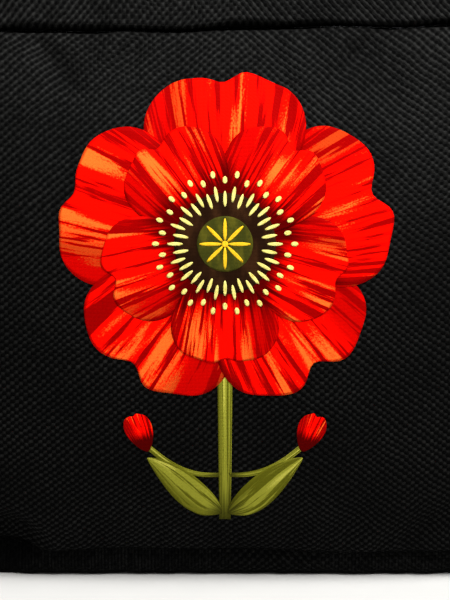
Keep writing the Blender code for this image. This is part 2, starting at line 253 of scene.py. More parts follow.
def panel_patch(s, t):
    """The front panel: the seam network's outline, with a crown that fills it out forwards."""
    z = BASE_SEAM_Z + PANEL_HEIGHT * t
    y = -(through(HALF_DEPTHS, z) + PANEL_CROWN * crown(s) * rise(t))
    return np.stack([through(HALF_WIDTHS, z) * s, y, z], axis=-1)


def band_patch(s, t):
    """The front band: the shoulder from the top seam to the zip, swollen along its normal by a parabola."""
    angle = 0.5 * math.pi * t
    width, _, z = shoulder(angle)
    outward, upward = shoulder_normal(HALF_DEPTHS[2] - ZIP_SLOT_HALF, angle)
    swell = BAND_CROWN * crown(s) * (1.0 - (2.0 * t - 1.0) ** 2)
    return np.stack([width * s, -(shoulder_depth(s, angle) + swell * outward), z + swell * upward], axis=-1)


def gusset_patch(s, t):
    """The right gusset: t up to 1 beside the panels, then 1 to 2 beside the bands."""
    low = np.minimum(t, 1.0)
    z_low = BASE_SEAM_Z + PANEL_HEIGHT * low
    angle = 0.5 * math.pi * np.clip(t - 1.0, 0.0, 1.0)
    width, depth, z_high = shoulder(angle)
    outward, upward = shoulder_normal(HALF_WIDTHS[2] - ZIP_HALF_WIDTH, angle)
    lower = t <= 1.0
    up = np.where(lower, -1.0 + 1.5 * t, 0.5 * t)
    swell = GUSSET_CROWN * crown(s) * crown(up)
    x = np.where(lower, through(HALF_WIDTHS, z_low) + swell, width + swell * outward)
    y = np.where(lower, through(HALF_DEPTHS, z_low), depth) * s
    z = np.where(lower, z_low, z_high + swell * upward)
    return np.stack([x, y, z], axis=-1)


def base_patch(s, t):
    """The base: t runs from the front seam to the back seam, flat within a rim that rolls up."""
    x = HALF_WIDTHS[0] * s
    y = HALF_DEPTHS[0] * (2.0 * t - 1.0)
    past_x = np.clip((np.abs(x) - HALF_WIDTHS[0] + END_ROLL) / END_ROLL, 0.0, 1.0)
    past_y = np.clip((np.abs(y) - HALF_DEPTHS[0] + SIDE_ROLL) / SIDE_ROLL, 0.0, 1.0)
    z = BASE_SEAM_Z * (1.0 - (1.0 - past_x**2) * (1.0 - past_y**2))
    return np.stack([x, y, z], axis=-1)


def zip_cover_patch(s, t):
    """A flat lid over the zip slot, which only closes the cloth while it is filled."""
    z = np.full_like(s, ZIP_EDGE_Z)
    return np.stack([ZIP_HALF_WIDTH * s, ZIP_SLOT_HALF * (2.0 * t - 1.0), z], axis=-1)


def half_turn(points):
    """Points turned half round about Z, from front to back or from right to left."""
    return points * np.array([-1.0, -1.0, 1.0])


def coarse_patches():
    """Every patch of the closed pouch on its coarse grid, rows upwards, each with its outside facing out."""
    across = np.linspace(-1.0, 1.0, ACROSS + 1)
    depth = np.linspace(-1.0, 1.0, DEPTH + 1)
    up = np.linspace(0.0, 1.0, UP + 1)
    over = np.linspace(0.0, 1.0, SHOULDER + 1)
    tall = np.concatenate([up, 1.0 + over[1:]])
    panel = panel_patch(*np.meshgrid(across, up))
    band = band_patch(*np.meshgrid(across, over))
    gusset = gusset_patch(*np.meshgrid(depth, tall))
    base = base_patch(*np.meshgrid(across, 0.5 + 0.5 * depth))
    lid = zip_cover_patch(*np.meshgrid(across, 0.5 + 0.5 * depth))
    return {
        "panel_front": panel,
        "panel_back": half_turn(panel),
        "top_band_front": band,
        "top_band_back": half_turn(band),
        "side_gusset_right": gusset,
        "side_gusset_left": half_turn(gusset),
        "base": base[::-1],
        "lid": lid,
    }


def grid_faces(rows, columns, first=0):
    """Quads of a grid, which face the side that sees its columns run right and its rows run up."""
    index = first + np.arange(rows * columns).reshape(rows, columns)
    return np.stack([index[:-1, :-1], index[:-1, 1:], index[1:, 1:], index[1:, :-1]], axis=-1).reshape(-1, 4)


def weld(patches):
    """All patches as one closed mesh: its points, its quads, and each patch's grid of point numbers."""
    stacked = np.concatenate([grid.reshape(-1, 3) for grid in patches.values()])
    _, keep, inverse = np.unique(
        np.round(stacked / (0.01 * MM)).astype(np.int64), axis=0, return_index=True, return_inverse=True
    )
    inverse = inverse.reshape(-1)
    numbers, faces, first = {}, [], 0
    for name, grid in patches.items():
        rows, columns = grid.shape[:2]
        numbers[name] = inverse[first : first + rows * columns].reshape(rows, columns)
        faces.append(inverse[grid_faces(rows, columns, first)])
        first += rows * columns
    return stacked[keep], np.concatenate(faces), numbers


def point_normals(points, faces):
    """Unit normals of points: the sum of the area normals of the quads around each."""
    across = points[faces[:, 2]] - points[faces[:, 0]]
    up = points[faces[:, 3]] - points[faces[:, 1]]
    area = np.cross(across, up)
    total = np.zeros_like(points)
    for corner in range(4):
        np.add.at(total, faces[:, corner], area)
    return total / np.maximum(np.linalg.norm(total, axis=1, keepdims=True), 1e-12)


def simulated(points, faces, pinned):
    """Where points go under pressure from inside: a cloth simulation, a little slack and pinned at seams."""
    mesh = bpy.data.meshes.new("filling")
    mesh.from_pydata((points * SIM_SCALE).tolist(), [], faces.tolist())
    piece = bpy.data.objects.new("filling", mesh)
    scene = bpy.context.scene
    scene.collection.objects.link(piece)
    group = piece.vertex_groups.new(name="seams")
    group.add(np.flatnonzero(pinned).tolist(), 1.0, "REPLACE")
    cloth = piece.modifiers.new("Cloth", "CLOTH")
    for key, value in SIM_SETTINGS.items():
        setattr(cloth.settings, key, value)
    cloth.settings.vertex_group_mass = "seams"
    cloth.settings.effector_weights.gravity = 0.0
    cloth.collision_settings.use_collision = False
    cloth.point_cache.frame_start = 1
    cloth.point_cache.frame_end = SIM_FRAMES
    for step in range(1, SIM_FRAMES + 1):
        scene.frame_set(step)
    result = piece.evaluated_get(bpy.context.evaluated_depsgraph_get()).to_mesh()
    filled = np.empty(len(points) * 3, np.float32)
    result.vertices.foreach_get("co", filled)
    bpy.data.objects.remove(piece, do_unlink=True)
    bpy.data.meshes.remove(mesh)
    scene.frame_set(1)
    return filled.reshape(-1, 3).astype(float) / SIM_SCALE


def fill_out(points, faces, pinned):
    """The cloth after filling: no point moves inwards, and each goes the cap's hyperbolic tangent at most."""
    move = simulated(points, faces, pinned) - points
    normals = point_normals(points, faces)
    inwards = np.minimum(np.sum(move * normals, axis=1, keepdims=True), 0.0)
    move = move - inwards * normals
    length = np.linalg.norm(move, axis=1, keepdims=True)
    cap = np.where(points[:, 2:] > TOP_SEAM_Z, BAND_PUFF_CAP, PUFF_CAP)
    capped = cap * np.tanh(length / cap)
    return points + move * capped / np.maximum(length, 1e-9)


# ---------------------------------------------------------------- the filled cloth as one smooth surface

def cubic_weights(share):
    """The four Catmull-Rom weights for a place between the second and the third of four values."""
    s2, s3 = share**2, share**3
    return (
        -0.5 * s3 + s2 - 0.5 * share,
        1.5 * s3 - 2.5 * s2 + 1.0,
        -1.5 * s3 + 2.0 * s2 + 0.5 * share,
        0.5 * s3 - 0.5 * s2,
    )


def extended(grid):
    """The grid with one more row at either end, in a straight line with the last two."""
    return np.concatenate([2.0 * grid[:1] - grid[1:2], grid, 2.0 * grid[-1:] - grid[-2:-1]])


def sample(grid, row, column):
    """Values of a grid between its points, by a cubic through the four nearest rows and columns."""
    wide = extended(extended(grid).swapaxes(0, 1)).swapaxes(0, 1)
    i = np.clip(np.floor(row).astype(int), 0, grid.shape[0] - 2)
    j = np.clip(np.floor(column).astype(int), 0, grid.shape[1] - 2)
    row_weights = cubic_weights(row - i)
    column_weights = cubic_weights(column - j)
    total = np.zeros(np.broadcast(row, column).shape + (grid.shape[2],))
    for a in range(4):
        for b in range(4):
            total += (row_weights[a] * column_weights[b])[..., None] * wide[i + a, j + b]
    return total


def thread_lengths(grid):
    """Millimetres along the threads: across each row from its middle, and up each column from its foot."""
    across = np.linalg.norm(np.diff(grid, axis=1), axis=2)
    across = np.concatenate([np.zeros((len(grid), 1)), np.cumsum(across, axis=1)], axis=1)
    across -= across[:, grid.shape[1] // 2 : grid.shape[1] // 2 + 1]
    up = np.linalg.norm(np.diff(grid, axis=0), axis=2)
    up = np.concatenate([np.zeros((1, grid.shape[1])), np.cumsum(up, axis=0)], axis=0)
    return np.stack([across, up], axis=-1) / MM


@functools.cache
def filled_cloth():
    """For each patch after filling: its points, its normals (shared at the seams) and its thread lengths."""
    points, faces, numbers = weld(coarse_patches())
    uses = np.zeros(len(points), int)
    for grid in numbers.values():
        uses[np.unique(grid)] += 1
    pinned = (uses > 1) | (points[:, 2] < 0.2 * MM)
    pinned[np.unique(numbers.pop("lid"))] = True
    points = fill_out(points, faces, pinned)
    points[:, 2] = np.maximum(points[:, 2], 0.0)
    normals = point_normals(points, faces)
    filled = {}
    for name, grid in numbers.items():
        filled[name] = (points[grid], normals[grid], thread_lengths(points[grid]))
    return filled


def kind_of(name):
    """A patch's kind: panel, top_band, side_gusset or base."""
    return name if name == "base" else name.rsplit("_", 1)[0]


def seam_distances(name, s, t):
    """Distances to the side seams, to the seam below and to the edge above, in metres."""
    kind = kind_of(name)
    z = BASE_SEAM_Z + PANEL_HEIGHT * np.minimum(t, 1.0)
    if kind == "side_gusset":
        angle = 0.5 * math.pi * np.clip(t - 1.0, 0.0, 1.0)
        half = np.where(t <= 1.0, through(HALF_DEPTHS, z), shoulder(angle)[1])
        low, high = t * PANEL_HEIGHT, (2.0 - t) * BAND_LENGTH
    else:
        half, tall = {
            "panel": (through(HALF_WIDTHS, z), PANEL_HEIGHT),
            "top_band": (shoulder(0.5 * math.pi * t)[0], BAND_LENGTH),
            "base": (HALF_WIDTHS[0], 2.0 * HALF_DEPTHS[0]),
        }[kind]
        low, high = t * tall, (1.0 - t) * tall
    return (1.0 - np.abs(s)) * half, low, high


def dip(distance, width):
    """A rounded groove: one at the seam and nothing a few widths away."""
    return np.exp(-((distance / width) ** 2))


def held_at_ends(s, power):
    """One in the middle, falling to nothing at the two ends by a high power of the way across."""
    return 1.0 - np.abs(s) ** power


def slit(distance, kind, x):
    """The top seam's flat-bottomed slit: a power of four, whose width along the seam follows two sines."""
    width = SLIT_WIDTHS[kind] * (1.0 + 0.28 * np.sin(x / (6.1 * MM) + 0.6) + 0.14 * np.sin(x / (2.2 * MM)))
    return SLIT_DEPTH * np.exp(-((distance / width) ** 4))


def dimples(x, z):
    """Shallow dents and swells where the padding is uneven: three crossed sines, each bent by another."""
    first = np.sin(x / (8.3 * MM) + 1.3 * np.sin(z / (17.0 * MM)) + 0.4)
    second = np.sin(z / (11.0 * MM) - x / (23.0 * MM) + 0.8 * np.sin(x / (13.0 * MM)))
    return 0.5 * first + 0.3 * second + 0.2 * np.sin(x / (4.4 * MM) + z / (9.0 * MM))


def drag_folds(x, below):
    """Three shallow folds that the seam drags into the panel: bell-shaped across, slanting towards the
    middle with the way below the seam, and deepest one reach below it."""
    folds = np.zeros(np.shape(x))
    for start, slope in ((-37.0 * MM, 0.8), (-14.0 * MM, -0.9), (30.0 * MM, -1.0)):
        folds = folds + dip(x - start - slope * below, FOLD_HALF_WIDTH)
    return folds * (below / FOLD_REACH) * np.exp(1.0 - below / FOLD_REACH)


def corner_dent(place):
    """The front's lower left corner, pushed in: a flat-topped bell that fades out just over the base."""
    across = (place[..., 0] - CORNER_PLACE[0]) / CORNER_RADII[0]
    up = (place[..., 2] - CORNER_PLACE[1]) / CORNER_RADII[1]
    bell = np.exp(-((across**2 + up**2) ** 2))
    return CORNER_DENT * bell * (place[..., 1] < 0.0) * np.clip(place[..., 2] / (2.5 * MM), 0.0, 1.0)


def gathers(along, distance, phase):
    """Small waves along a seam, which are held flat at the stitches and fade into the panel."""
    wave = 0.6 * np.sin(along / (1.15 * MM) + phase + 1.4 * np.sin(along / (3.9 * MM) + 2.0 * phase))
    wave += 0.4 * np.sin(along / (2.1 * MM) + 3.1 * phase)
    return wave * (1.0 - dip(distance, 1.6 * MM)) * np.exp(-distance / PUCKER_REACH)


def top_seam_lift(x):
    """How far the top seam strays from level: it climbs to the right, with waves of about 47, 19 and 3 mm."""
    slow = 0.22 * MM * np.sin(x / (7.5 * MM))
    quick = 0.16 * MM * np.sin(x / (3.1 * MM) + 1.0)
    return SEAM_RISE * x + slow + quick + 0.06 * MM * np.sin(x / (0.42 * MM))


def base_seam_lift(x):
    """How far the base seam strays from level, with waves of about 82 and 30 mm."""
    return 0.45 * MM * np.sin(x / (13.0 * MM) + 2.2) + 0.2 * MM * np.sin(x / (4.7 * MM))


def seam_pull(kind, s, x, distances):
    """How far stitches pull the cloth in: a groove at each seam, a slit at the top one, a fold at the zip."""
    side, low, high = distances
    pull = SEAM_DEPTH * dip(side, SEAM_WIDTH)
    if kind != "top_band":
        pull = np.maximum(pull, SEAM_DEPTH * dip(low, SEAM_WIDTH))
    if kind == "base":
        pull = np.maximum(pull, SEAM_DEPTH * dip(high, SEAM_WIDTH))
    if kind in ("top_band", "side_gusset"):
        pull = np.maximum(pull, ZIP_FOLD_DEPTH * dip(high, SEAM_WIDTH))
    if kind in SLIT_WIDTHS:
        edge = high if kind == "panel" else low
        ends = SEAM_DEPTH / SLIT_DEPTH
        depth = ends + (1.0 - ends) * held_at_ends(s, 24)
        pull = np.maximum(pull, slit(edge, kind, x) * depth)
        pull = pull + LIP_DEPTHS[kind] * dip(edge, LIP_WIDTH) * held_at_ends(s, 24)
    return pull


def unevenness(name, place, distances):
    """How far the cloth stands out where it is gathered and padded unevenly, less the top seam's folds."""
    side, low, high = distances
    kind, x = kind_of(name), place[..., 0]
    nearest = np.minimum(side, np.minimum(low, high))
    phase = 0.7 + 1.9 * sorted(filled_cloth()).index(name)
    waves = gathers(place[..., 2] + place[..., 1], side, phase) + gathers(x, low, phase + 2.0)
    if kind in ("panel", "base"):
        waves = waves + gathers(x, high, phase + 4.0)
    swell = PUCKER_DEPTH * waves * np.clip(nearest / PUCKER_START, 0.0, 1.0)
    if kind in ("panel", "top_band"):
        swell = swell + DIMPLE_DEPTH * dimples(x, place[..., 2]) * np.clip(nearest / DIMPLE_START, 0.0, 1.0)
    if kind == "panel":
        swell = swell - FOLD_DEPTH * drag_folds(x, high)
    return swell


def cloth_point(name, s, t, lift=0.0):
    """Points of the finished cloth, and its normals before it was sewn: the filled patch, pulled in at its
    seams, gathered beside them, and moved up or down with seams that aren't level."""
    s, t = np.broadcast_arrays(np.asarray(s, float), np.asarray(t, float))
    points, normals, _ = filled_cloth()[name]
    row, column = patch_place(name, s, t, points.shape)
    place = sample(points, row, column)
    normal = sample(normals, row, column)
    normal /= np.linalg.norm(normal, axis=-1, keepdims=True)
    kind, x = kind_of(name), place[..., 0]
    distances = seam_distances(name, s, t)
    _, low, high = distances
    out = lift - seam_pull(kind, s, x, distances) + unevenness(name, place, distances)
    place = place + normal * out[..., None]
    if name in ("panel_front", "base"):
        place = place - normal * corner_dent(place)[..., None]
    if name in ("panel_front", "top_band_front"):
        edge = high if kind == "panel" else low
        place[..., 2] += held_at_ends(s, 8) * top_seam_lift(x) * np.exp(-edge / TOP_SEAM_REACH)
    if kind in BASE_SEAM_REACHES:
        edge = low if kind == "panel" else np.minimum(low, high)
        place[..., 2] += held_at_ends(s, 8) * base_seam_lift(x) * np.exp(-edge / BASE_SEAM_REACHES[kind])
    return place, normal


def patch_place(name, s, t, shape):
    """Row and column in a patch's coarse grid. A gusset's rows are closer below the top seam than above."""
    row = t * (shape[0] - 1)
    if kind_of(name) == "side_gusset":
        row = np.where(t <= 1.0, t * UP, UP + (t - 1.0) * (shape[0] - 1 - UP))
    return row, (0.5 + 0.5 * s) * (shape[1] - 1)


def thread_place(name, s, t):
    """Where a point of a patch lies along its threads, in millimetres. The bands are cut across the cloth,
    so their level threads are the closer ones."""
    lengths = filled_cloth()[name][2]
    place = sample(lengths, *patch_place(name, s, t, lengths.shape))
    if name == "panel_front":
        place[..., 1] -= GRAIN_CLIMB * np.maximum(place[..., 0] - GRAIN_START_MM, 0.0) ** 2
    if kind_of(name) == "top_band":
        ratio = WARP_PITCH_MM / WEFT_PITCH_MM
        place = place * np.array([ratio, 1.0 / ratio]) + np.array([0.0, BAND_THREADS_START_MM])
    return place


def seam_spaced(length):
    """Places from 0 to 1 along a length between seams: closer at both ends, where the cloth turns in."""
    near = np.array([0.0, 0.2, 0.45, 0.75, 1.1, 1.5, 2.0, 2.6, 3.3]) * MM
    count = max(2, int(round((length - 2.0 * near[-1]) / CLOTH_STEP)))
    middle = np.linspace(near[-1], length - near[-1], count + 1)[1:-1]
    return np.concatenate([near, middle, (length - near)[::-1]]) / length


# ---------------------------------------------------------------- mesh makers

def grid_mesh(name, grids, layers):
    """One mesh of several grids of points. layers maps a UV layer's name to its grids of number pairs."""
    points = np.concatenate([grid.reshape(-1, 3) for grid in grids])
    faces, first = [], 0
    for grid in grids:
        faces.append(grid_faces(grid.shape[0], grid.shape[1], first))
        first += grid.shape[0] * grid.shape[1]
    return polygon_mesh(name, points, np.concatenate(faces), layers)


def polygon_mesh(name, points, faces, layers=None):
    """A smooth-shaded mesh of faces that all have the same number of corners, with its UV layers."""
    mesh = bpy.data.meshes.new(name)
    mesh.vertices.add(len(points))
    mesh.vertices.foreach_set("co", points.astype(np.float32).reshape(-1))
    mesh.loops.add(faces.size)
    mesh.loops.foreach_set("vertex_index", faces.astype(np.int32).reshape(-1))
    mesh.polygons.add(len(faces))
    mesh.polygons.foreach_set("loop_start", np.arange(0, faces.size, faces.shape[1], dtype=np.int32))
    mesh.update(calc_edges=True)
    mesh.validate()
    for layer, grids in (layers or {}).items():
        values = np.concatenate([grid.reshape(-1, 2) for grid in grids])
        uv = mesh.uv_layers.new(name=layer)
        uv.data.foreach_set("uv", values[faces.reshape(-1)].astype(np.float32).reshape(-1))
    mesh.shade_smooth()
    return mesh


def add_piece(name, mesh, material, replaced=(), wall=0.0):
    """A finished piece at the origin, riding on the pouch, with the solids it stands for hidden."""
    piece = bpy.data.objects.new(name, mesh)
    bpy.context.scene.collection.objects.link(piece)
    mesh.materials.append(material)
    if wall:
        solidify = piece.modifiers.new("Wall", "SOLIDIFY")
        solidify.thickness = wall
        solidify.offset = -1.0
    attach(piece, BODY)
    if replaced:
        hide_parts(*replaced)
    return piece


def tubes(paths, radii, upward, sides):
    """Round tubes along paths (count, stations, 3): rings square to each path, a radius for each station."""
    ahead = np.gradient(paths, axis=1)
    ahead /= np.linalg.norm(ahead, axis=2, keepdims=True)
    across = np.cross(ahead, upward)
    across /= np.linalg.norm(across, axis=2, keepdims=True)
    top = np.cross(across, ahead)
    turn = np.linspace(0.0, 2.0 * math.pi, sides, endpoint=False)
    rings = np.cos(turn)[:, None] * top[:, :, None, :] + np.sin(turn)[:, None] * across[:, :, None, :]
    points = paths[:, :, None, :] + radii[None, :, None, None] * rings
    index = np.arange(points[..., 0].size).reshape(points.shape[:3])
    after = np.roll(index, -1, axis=2)
    faces = np.stack([index[:, :-1], after[:, :-1], after[:, 1:], index[:, 1:]], axis=-1).reshape(-1, 4)
    return points.reshape(-1, 3), faces


def tube_mesh(name, paths, radii, upward, sides):
    """Round tubes as one mesh, with the points of each closed end merged."""
    mesh = polygon_mesh(name, *tubes(paths, radii, upward, sides))
    shell = bmesh.new()
    shell.from_mesh(mesh)
    bmesh.ops.remove_doubles(shell, verts=shell.verts, dist=1e-6)
    shell.to_mesh(mesh)
    shell.free()
    mesh.shade_smooth()
    return mesh


def shell_mesh(name, outer, inner):
    """A closed slab between two grids: the outer faces out, the inner in, and a strip joins their edges."""
    rows, columns = outer.shape[:2]
    index = np.arange(rows * columns).reshape(rows, columns)
    rim = np.concatenate([index[0, :-1], index[:-1, -1], index[-1, :0:-1], index[:0:-1, 0]])
    after = np.roll(rim, -1)
    faces = grid_faces(rows, columns)
    strip = np.stack([rim + rows * columns, after + rows * columns, after, rim], axis=-1)
    faces = np.concatenate([faces, faces[:, ::-1] + rows * columns, strip])
    return polygon_mesh(name, np.concatenate([outer.reshape(-1, 3), inner.reshape(-1, 3)]), faces)


# ---------------------------------------------------------------- cloth panels

def fine_places(name):
    """The places of a patch's fine grid: the same along every shared seam, and closer beside each seam."""
    across = 2.0 * seam_spaced(2.0 * HALF_WIDTHS[1]) - 1.0
    depth = seam_spaced(2.0 * HALF_DEPTHS[1])
    up = seam_spaced(PANEL_HEIGHT)
    over = seam_spaced(BAND_LENGTH)
    columns, rows = {
        "panel": (across, up),
        "top_band": (across, over),
        "side_gusset": (2.0 * depth - 1.0, np.concatenate([up, 1.0 + over[1:]])),
        "base": (across, depth),
    }[kind_of(name)]
    return np.meshgrid(columns, rows)


def add_cloth_panel(name, material):
    """A cloth panel: the finished cloth over its patch, with a wall inwards, in place of its solid."""
    s, t = fine_places(name)
    points, _ = cloth_point(name, s, t)
    mesh = grid_mesh("woven_" + name, [points], {"Threads": [thread_place(name, s, t)]})
    piece = add_piece("woven_" + name, mesh, material, ["cloth_" + name], CLOTH_WALL)


def inset_places(name, inset, step):
    """A grid of places over a patch that stays an inset away from its seams."""
    wide, tall = {
        "panel": (2.0 * HALF_WIDTHS[1], PANEL_HEIGHT),
        "top_band": (2.0 * HALF_WIDTHS[1], BAND_LENGTH),
        "side_gusset": (2.0 * HALF_DEPTHS[1], PANEL_HEIGHT + BAND_LENGTH),
        "base": (2.0 * HALF_WIDTHS[0], 2.0 * HALF_DEPTHS[0]),
    }[kind_of(name)]
    columns = np.linspace(-1.0, 1.0, int(wide / step))
    rows = np.linspace(inset, tall - 2.2 * inset, int(tall / step))
    s, length = np.meshgrid(columns, rows)
    t = length / tall
    if kind_of(name) == "side_gusset":
        above = 1.0 + (length - PANEL_HEIGHT) / BAND_LENGTH
        t = np.where(length < PANEL_HEIGHT, length / PANEL_HEIGHT, above)
    side = seam_distances(name, np.zeros_like(s), t)[0]
    return s * (1.0 - inset / side), t


def foam_depths(name, s, t):
    """How far under the cloth's outside the foam starts, deeper by a decaying exponential where the seams
    pucker the cloth, and its thickness: pressed thin by the stitches, and full a few millimetres from
    every seam."""
    distance = np.minimum.reduce(seam_distances(name, s, t))
    start = FOAM_START + SEAM_CLEARANCE * np.exp(-distance / PUCKER_REACH)
    return start, np.clip(0.2 * MM + 0.8 * (distance - FOAM_INSET), 0.15 * MM, FOAM_THICK)


def add_slab(name, place, material, replaced, depth, thick):
    """Padding or lining that follows the filled cloth at a depth under it, in place of its solid."""
    patch, s, t = place
    outer, _ = cloth_point(patch, s, t, -depth)
    inner, _ = cloth_point(patch, s, t, -depth - thick)
    return add_piece(name, shell_mesh(name, outer, inner), material, [replaced])


def add_backing(name, foam, lining):
    """The foam and the lining behind a cloth panel. The lining lies on the foam's inner side."""
    s, t = inset_places(name, FOAM_INSET, 2.0 * MM)
    depth, thick = foam_depths(name, s, t)
    pad = add_slab("pad_" + name, (name, s, t), foam, "foam_" + name, depth, thick)
    s, t = inset_places(name, LINING_INSET, 2.5 * MM)
    depth = sum(foam_depths(name, s, t)) + 0.1 * MM
    add_slab("inside_" + name, (name, s, t), lining, "lining_" + name, depth, LINING_THICK)


# ---------------------------------------------------------------- print
# A printed shape is its points, the threads under them, its own places across and up, and its ink's shift.

def round_shape(columns, rows):
    """A square grid pulled round: each way is multiplied by sqrt(1 - the other way squared / 2)."""
    a, b = np.meshgrid(np.linspace(-1.0, 1.0, columns), np.linspace(-1.0, 1.0, rows))
    return a * np.sqrt(1.0 - 0.5 * b**2), b * np.sqrt(1.0 - 0.5 * a**2)


def laid(start, turn, along, aside, lift, side, up, shift):
    """A printed shape over the front panel, its lengths in millimetres: places that lie so far along and
    aside of a line that leaves the start at a turn from upright."""
    x = start[0] + along * math.sin(turn) + aside * math.cos(turn)
    z = (start[1] + along * math.cos(turn) - aside * math.sin(turn)) * MM
    place = (z - BASE_SEAM_Z) / PANEL_HEIGHT
    across = x * MM / through(HALF_WIDTHS, z)
    points, _ = cloth_point("panel_front", across, place, lift * MM)
    threads = thread_place("panel_front", across, place)
    return points, threads, np.stack([side, up], axis=-1), np.full(side.shape + (2,), shift)


def petal(centre, turn, near, far, half, notch, lift, tilt, shift):
    """A petal from near to far of the centre: an egg, narrow at its foot, notched at its tip, and tilted."""
    x, y = round_shape(27, 33)
    up = 0.5 + 0.5 * y
    wide = half * (0.42 + 0.58 * up**0.75) * x
    tip = notch * up**6 * (np.exp(-((x / 0.16) ** 2)) + 0.25 * np.cos(9.0 * x + shift))
    return laid(centre, turn, near + (far - near) * up - tip, wide, lift + tilt * x, x, up, shift)


def spot(centre, turn, distance, half_long, half_wide, lift, shift, columns=5, rows=7):
    """A small rounded spot at a distance from the centre, its long way outwards."""
    x, y = round_shape(columns, rows)
    return laid(centre, turn, distance + half_long * y, half_wide * x, lift, x, 0.5 + 0.5 * y, shift)


def disc(centre, radius, lift):
    """A round of ink about the centre."""
    return spot(centre, 0.0, 0.0, radius, radius, lift, 0.3, 25, 25)


def leaf(root, turn, length, half, bend, lift, shift):
    """A pointed leaf from its root: as wide as a sine to the power 0.8, along a line that bends sideways."""
    x, up = np.meshgrid(np.linspace(-1.0, 1.0, 13), np.linspace(0.0, 1.0, 37))
    wide = half * np.maximum(np.sin(math.pi * up**0.85), 0.0) ** 0.8 * x + 0.12 * x
    return laid(root, turn, length * up, wide + bend * np.sin(0.5 * math.pi * up) ** 2, lift, x, up, shift)


def stalk(start, end, half, bow, lift, shift):
    """A stem between two places, a quarter wider at its end, bowed sideways by a sine."""
    x, up = np.meshgrid(np.linspace(-1.0, 1.0, 7), np.linspace(0.0, 1.0, 61))
    run, climb = end[0] - start[0], end[1] - start[1]
    wide = half * (1.0 + 0.25 * up) * x + bow * np.sin(math.pi * up)
    return laid(start, math.atan2(run, climb), math.hypot(run, climb) * up, wide, lift, x, up, shift)


def add_film(name, shapes, material):
    """Printed shapes as one piece: a thin film of ink that follows the cloth under it."""
    grids, *layers = zip(*shapes)
    mesh = grid_mesh(name, grids, dict(zip(("Threads", "Shape", "Shift"), layers)))
    add_piece(name, mesh, material, (), PRINT_FILM)


# ---------------------------------------------------------------- zip

def signed_power(value, power):
    """A value's size to a power, with the value's sign: a low power squares off a sine or a cosine."""
    return np.sign(value) * np.abs(value) ** power


def coil_path(low, high, side, count):
    """A flattened helix beside the middle of the zip: one turn a pitch, from just past the middle to the
    tape's side. The two coils are half a turn apart, so that their turns lock."""
    turns = np.linspace(0.0, count, count * COIL_STATIONS + 1)
    phase = 2.0 * math.pi * turns + (0.0 if side < 0.0 else math.pi)
    reach = max(abs(low[1]), abs(high[1])) - COIL_FILAMENT
    middle, half = 0.5 * (reach - COIL_OVERLAP), 0.5 * (reach + COIL_OVERLAP)
    y = side * (middle - half * signed_power(np.cos(phase), COIL_FLATNESS))
    z = 0.5 * (low[2] + high[2]) + (0.5 * (high[2] - low[2]) - COIL_FILAMENT) * np.sin(phase)
    return np.stack([low[0] + COIL_PITCH * turns, y, z], axis=-1)


def add_coil(solid, side, material):
    """One of the zip's two coils, as a round filament that tapers at its cut ends, in place of its solid."""
    low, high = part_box(solid)
    path = coil_path(low, high, side, int((high[0] - low[0]) / COIL_PITCH))
    ends = np.minimum(np.arange(len(path)), np.arange(len(path))[::-1])
    radii = COIL_FILAMENT * np.where(ends == 0, 0.0, np.minimum(1.0, 0.5 + 0.25 * ends))
    mesh = tube_mesh("filament_" + solid, path[None], radii, np.array([1.0, 0.0, 0.0]), 8)
    add_piece("filament_" + solid, mesh, material, [solid])


def tab_mesh(name, low, high):
    """A folded strap end: a superellipse across the zip that swells and closes at both ends by another."""
    u = np.sin(0.5 * math.pi * np.linspace(-1.0, 1.0, 33))[:, None]
    turn = np.linspace(0.0, 2.0 * math.pi, 49)
    full = np.maximum(1.0 - np.abs(u) ** 5, 0.0) ** 0.2
    half = 0.5 * (np.array(high) - np.array(low))
    middle = 0.5 * (np.array(high) + np.array(low))
    y = half[1] * signed_power(np.cos(turn), 0.35) * (0.9 + 0.1 * full) * np.minimum(1.0, 3.0 * full)
    z = half[2] * signed_power(np.sin(turn), 0.6) * full
    points = middle + np.stack(np.broadcast_arrays(half[0] * u, y, z), axis=-1)
    points[:, -1] = points[:, 0]
    around = 4.0 * TAB_HALF_DEPTH / MM * turn / (2.0 * math.pi)
    threads = np.stack(np.broadcast_arrays(around, half[0] / MM * u), axis=-1)
    return grid_mesh(name, [points], {"Threads": [threads]})


def stitch_paths(starts, ahead, up):
    """Short arcs of thread: ahead from each start, raised by a half sine, sunk in the cloth at both ends."""
    share = np.linspace(0.0, 1.0, 9)[None, :, None]
    arc = np.sin(math.pi * share) * (STITCH_RISE + STITCH_SINK) - STITCH_SINK
    return starts[:, None, :] + ahead * share * STITCH_LENGTH + up[:, None, :] * arc


def add_topstitch(name, side, thread):
    """A row of stitches along a band, beside the zip."""
    count = int(2.0 * 0.93 * ZIP_HALF_WIDTH / STITCH_PITCH)
    across = (np.arange(count) - 0.5 * (count - 1)) * STITCH_PITCH
    height = np.full(count, 1.0 - STITCH_INSET / BAND_LENGTH)
    starts, up = cloth_point(name, across / ZIP_HALF_WIDTH * -side, height, 0.05 * MM)
    paths = stitch_paths(starts, np.array([1.0, 0.0, 0.0]), up)
    radii = STITCH_RADIUS * np.array([0.0, 0.8, 1.0, 1.0, 1.0, 1.0, 1.0, 0.8, 0.0])
    mesh = tube_mesh("topstitch_" + name, paths, radii, np.array([0.0, 1.0, 0.0]), 6)
    add_piece("topstitch_" + name, mesh, thread)


# ---------------------------------------------------------------- materials

def linear(hex_colour):
    """An sRGB hex colour as linear red, green, blue and alpha."""
    values = [int(hex_colour[i : i + 2], 16) / 255.0 for i in (1, 3, 5)]
    return tuple(v / 12.92 if v <= 0.04045 else ((v + 0.055) / 1.055) ** 2.4 for v in values) + (1.0,)


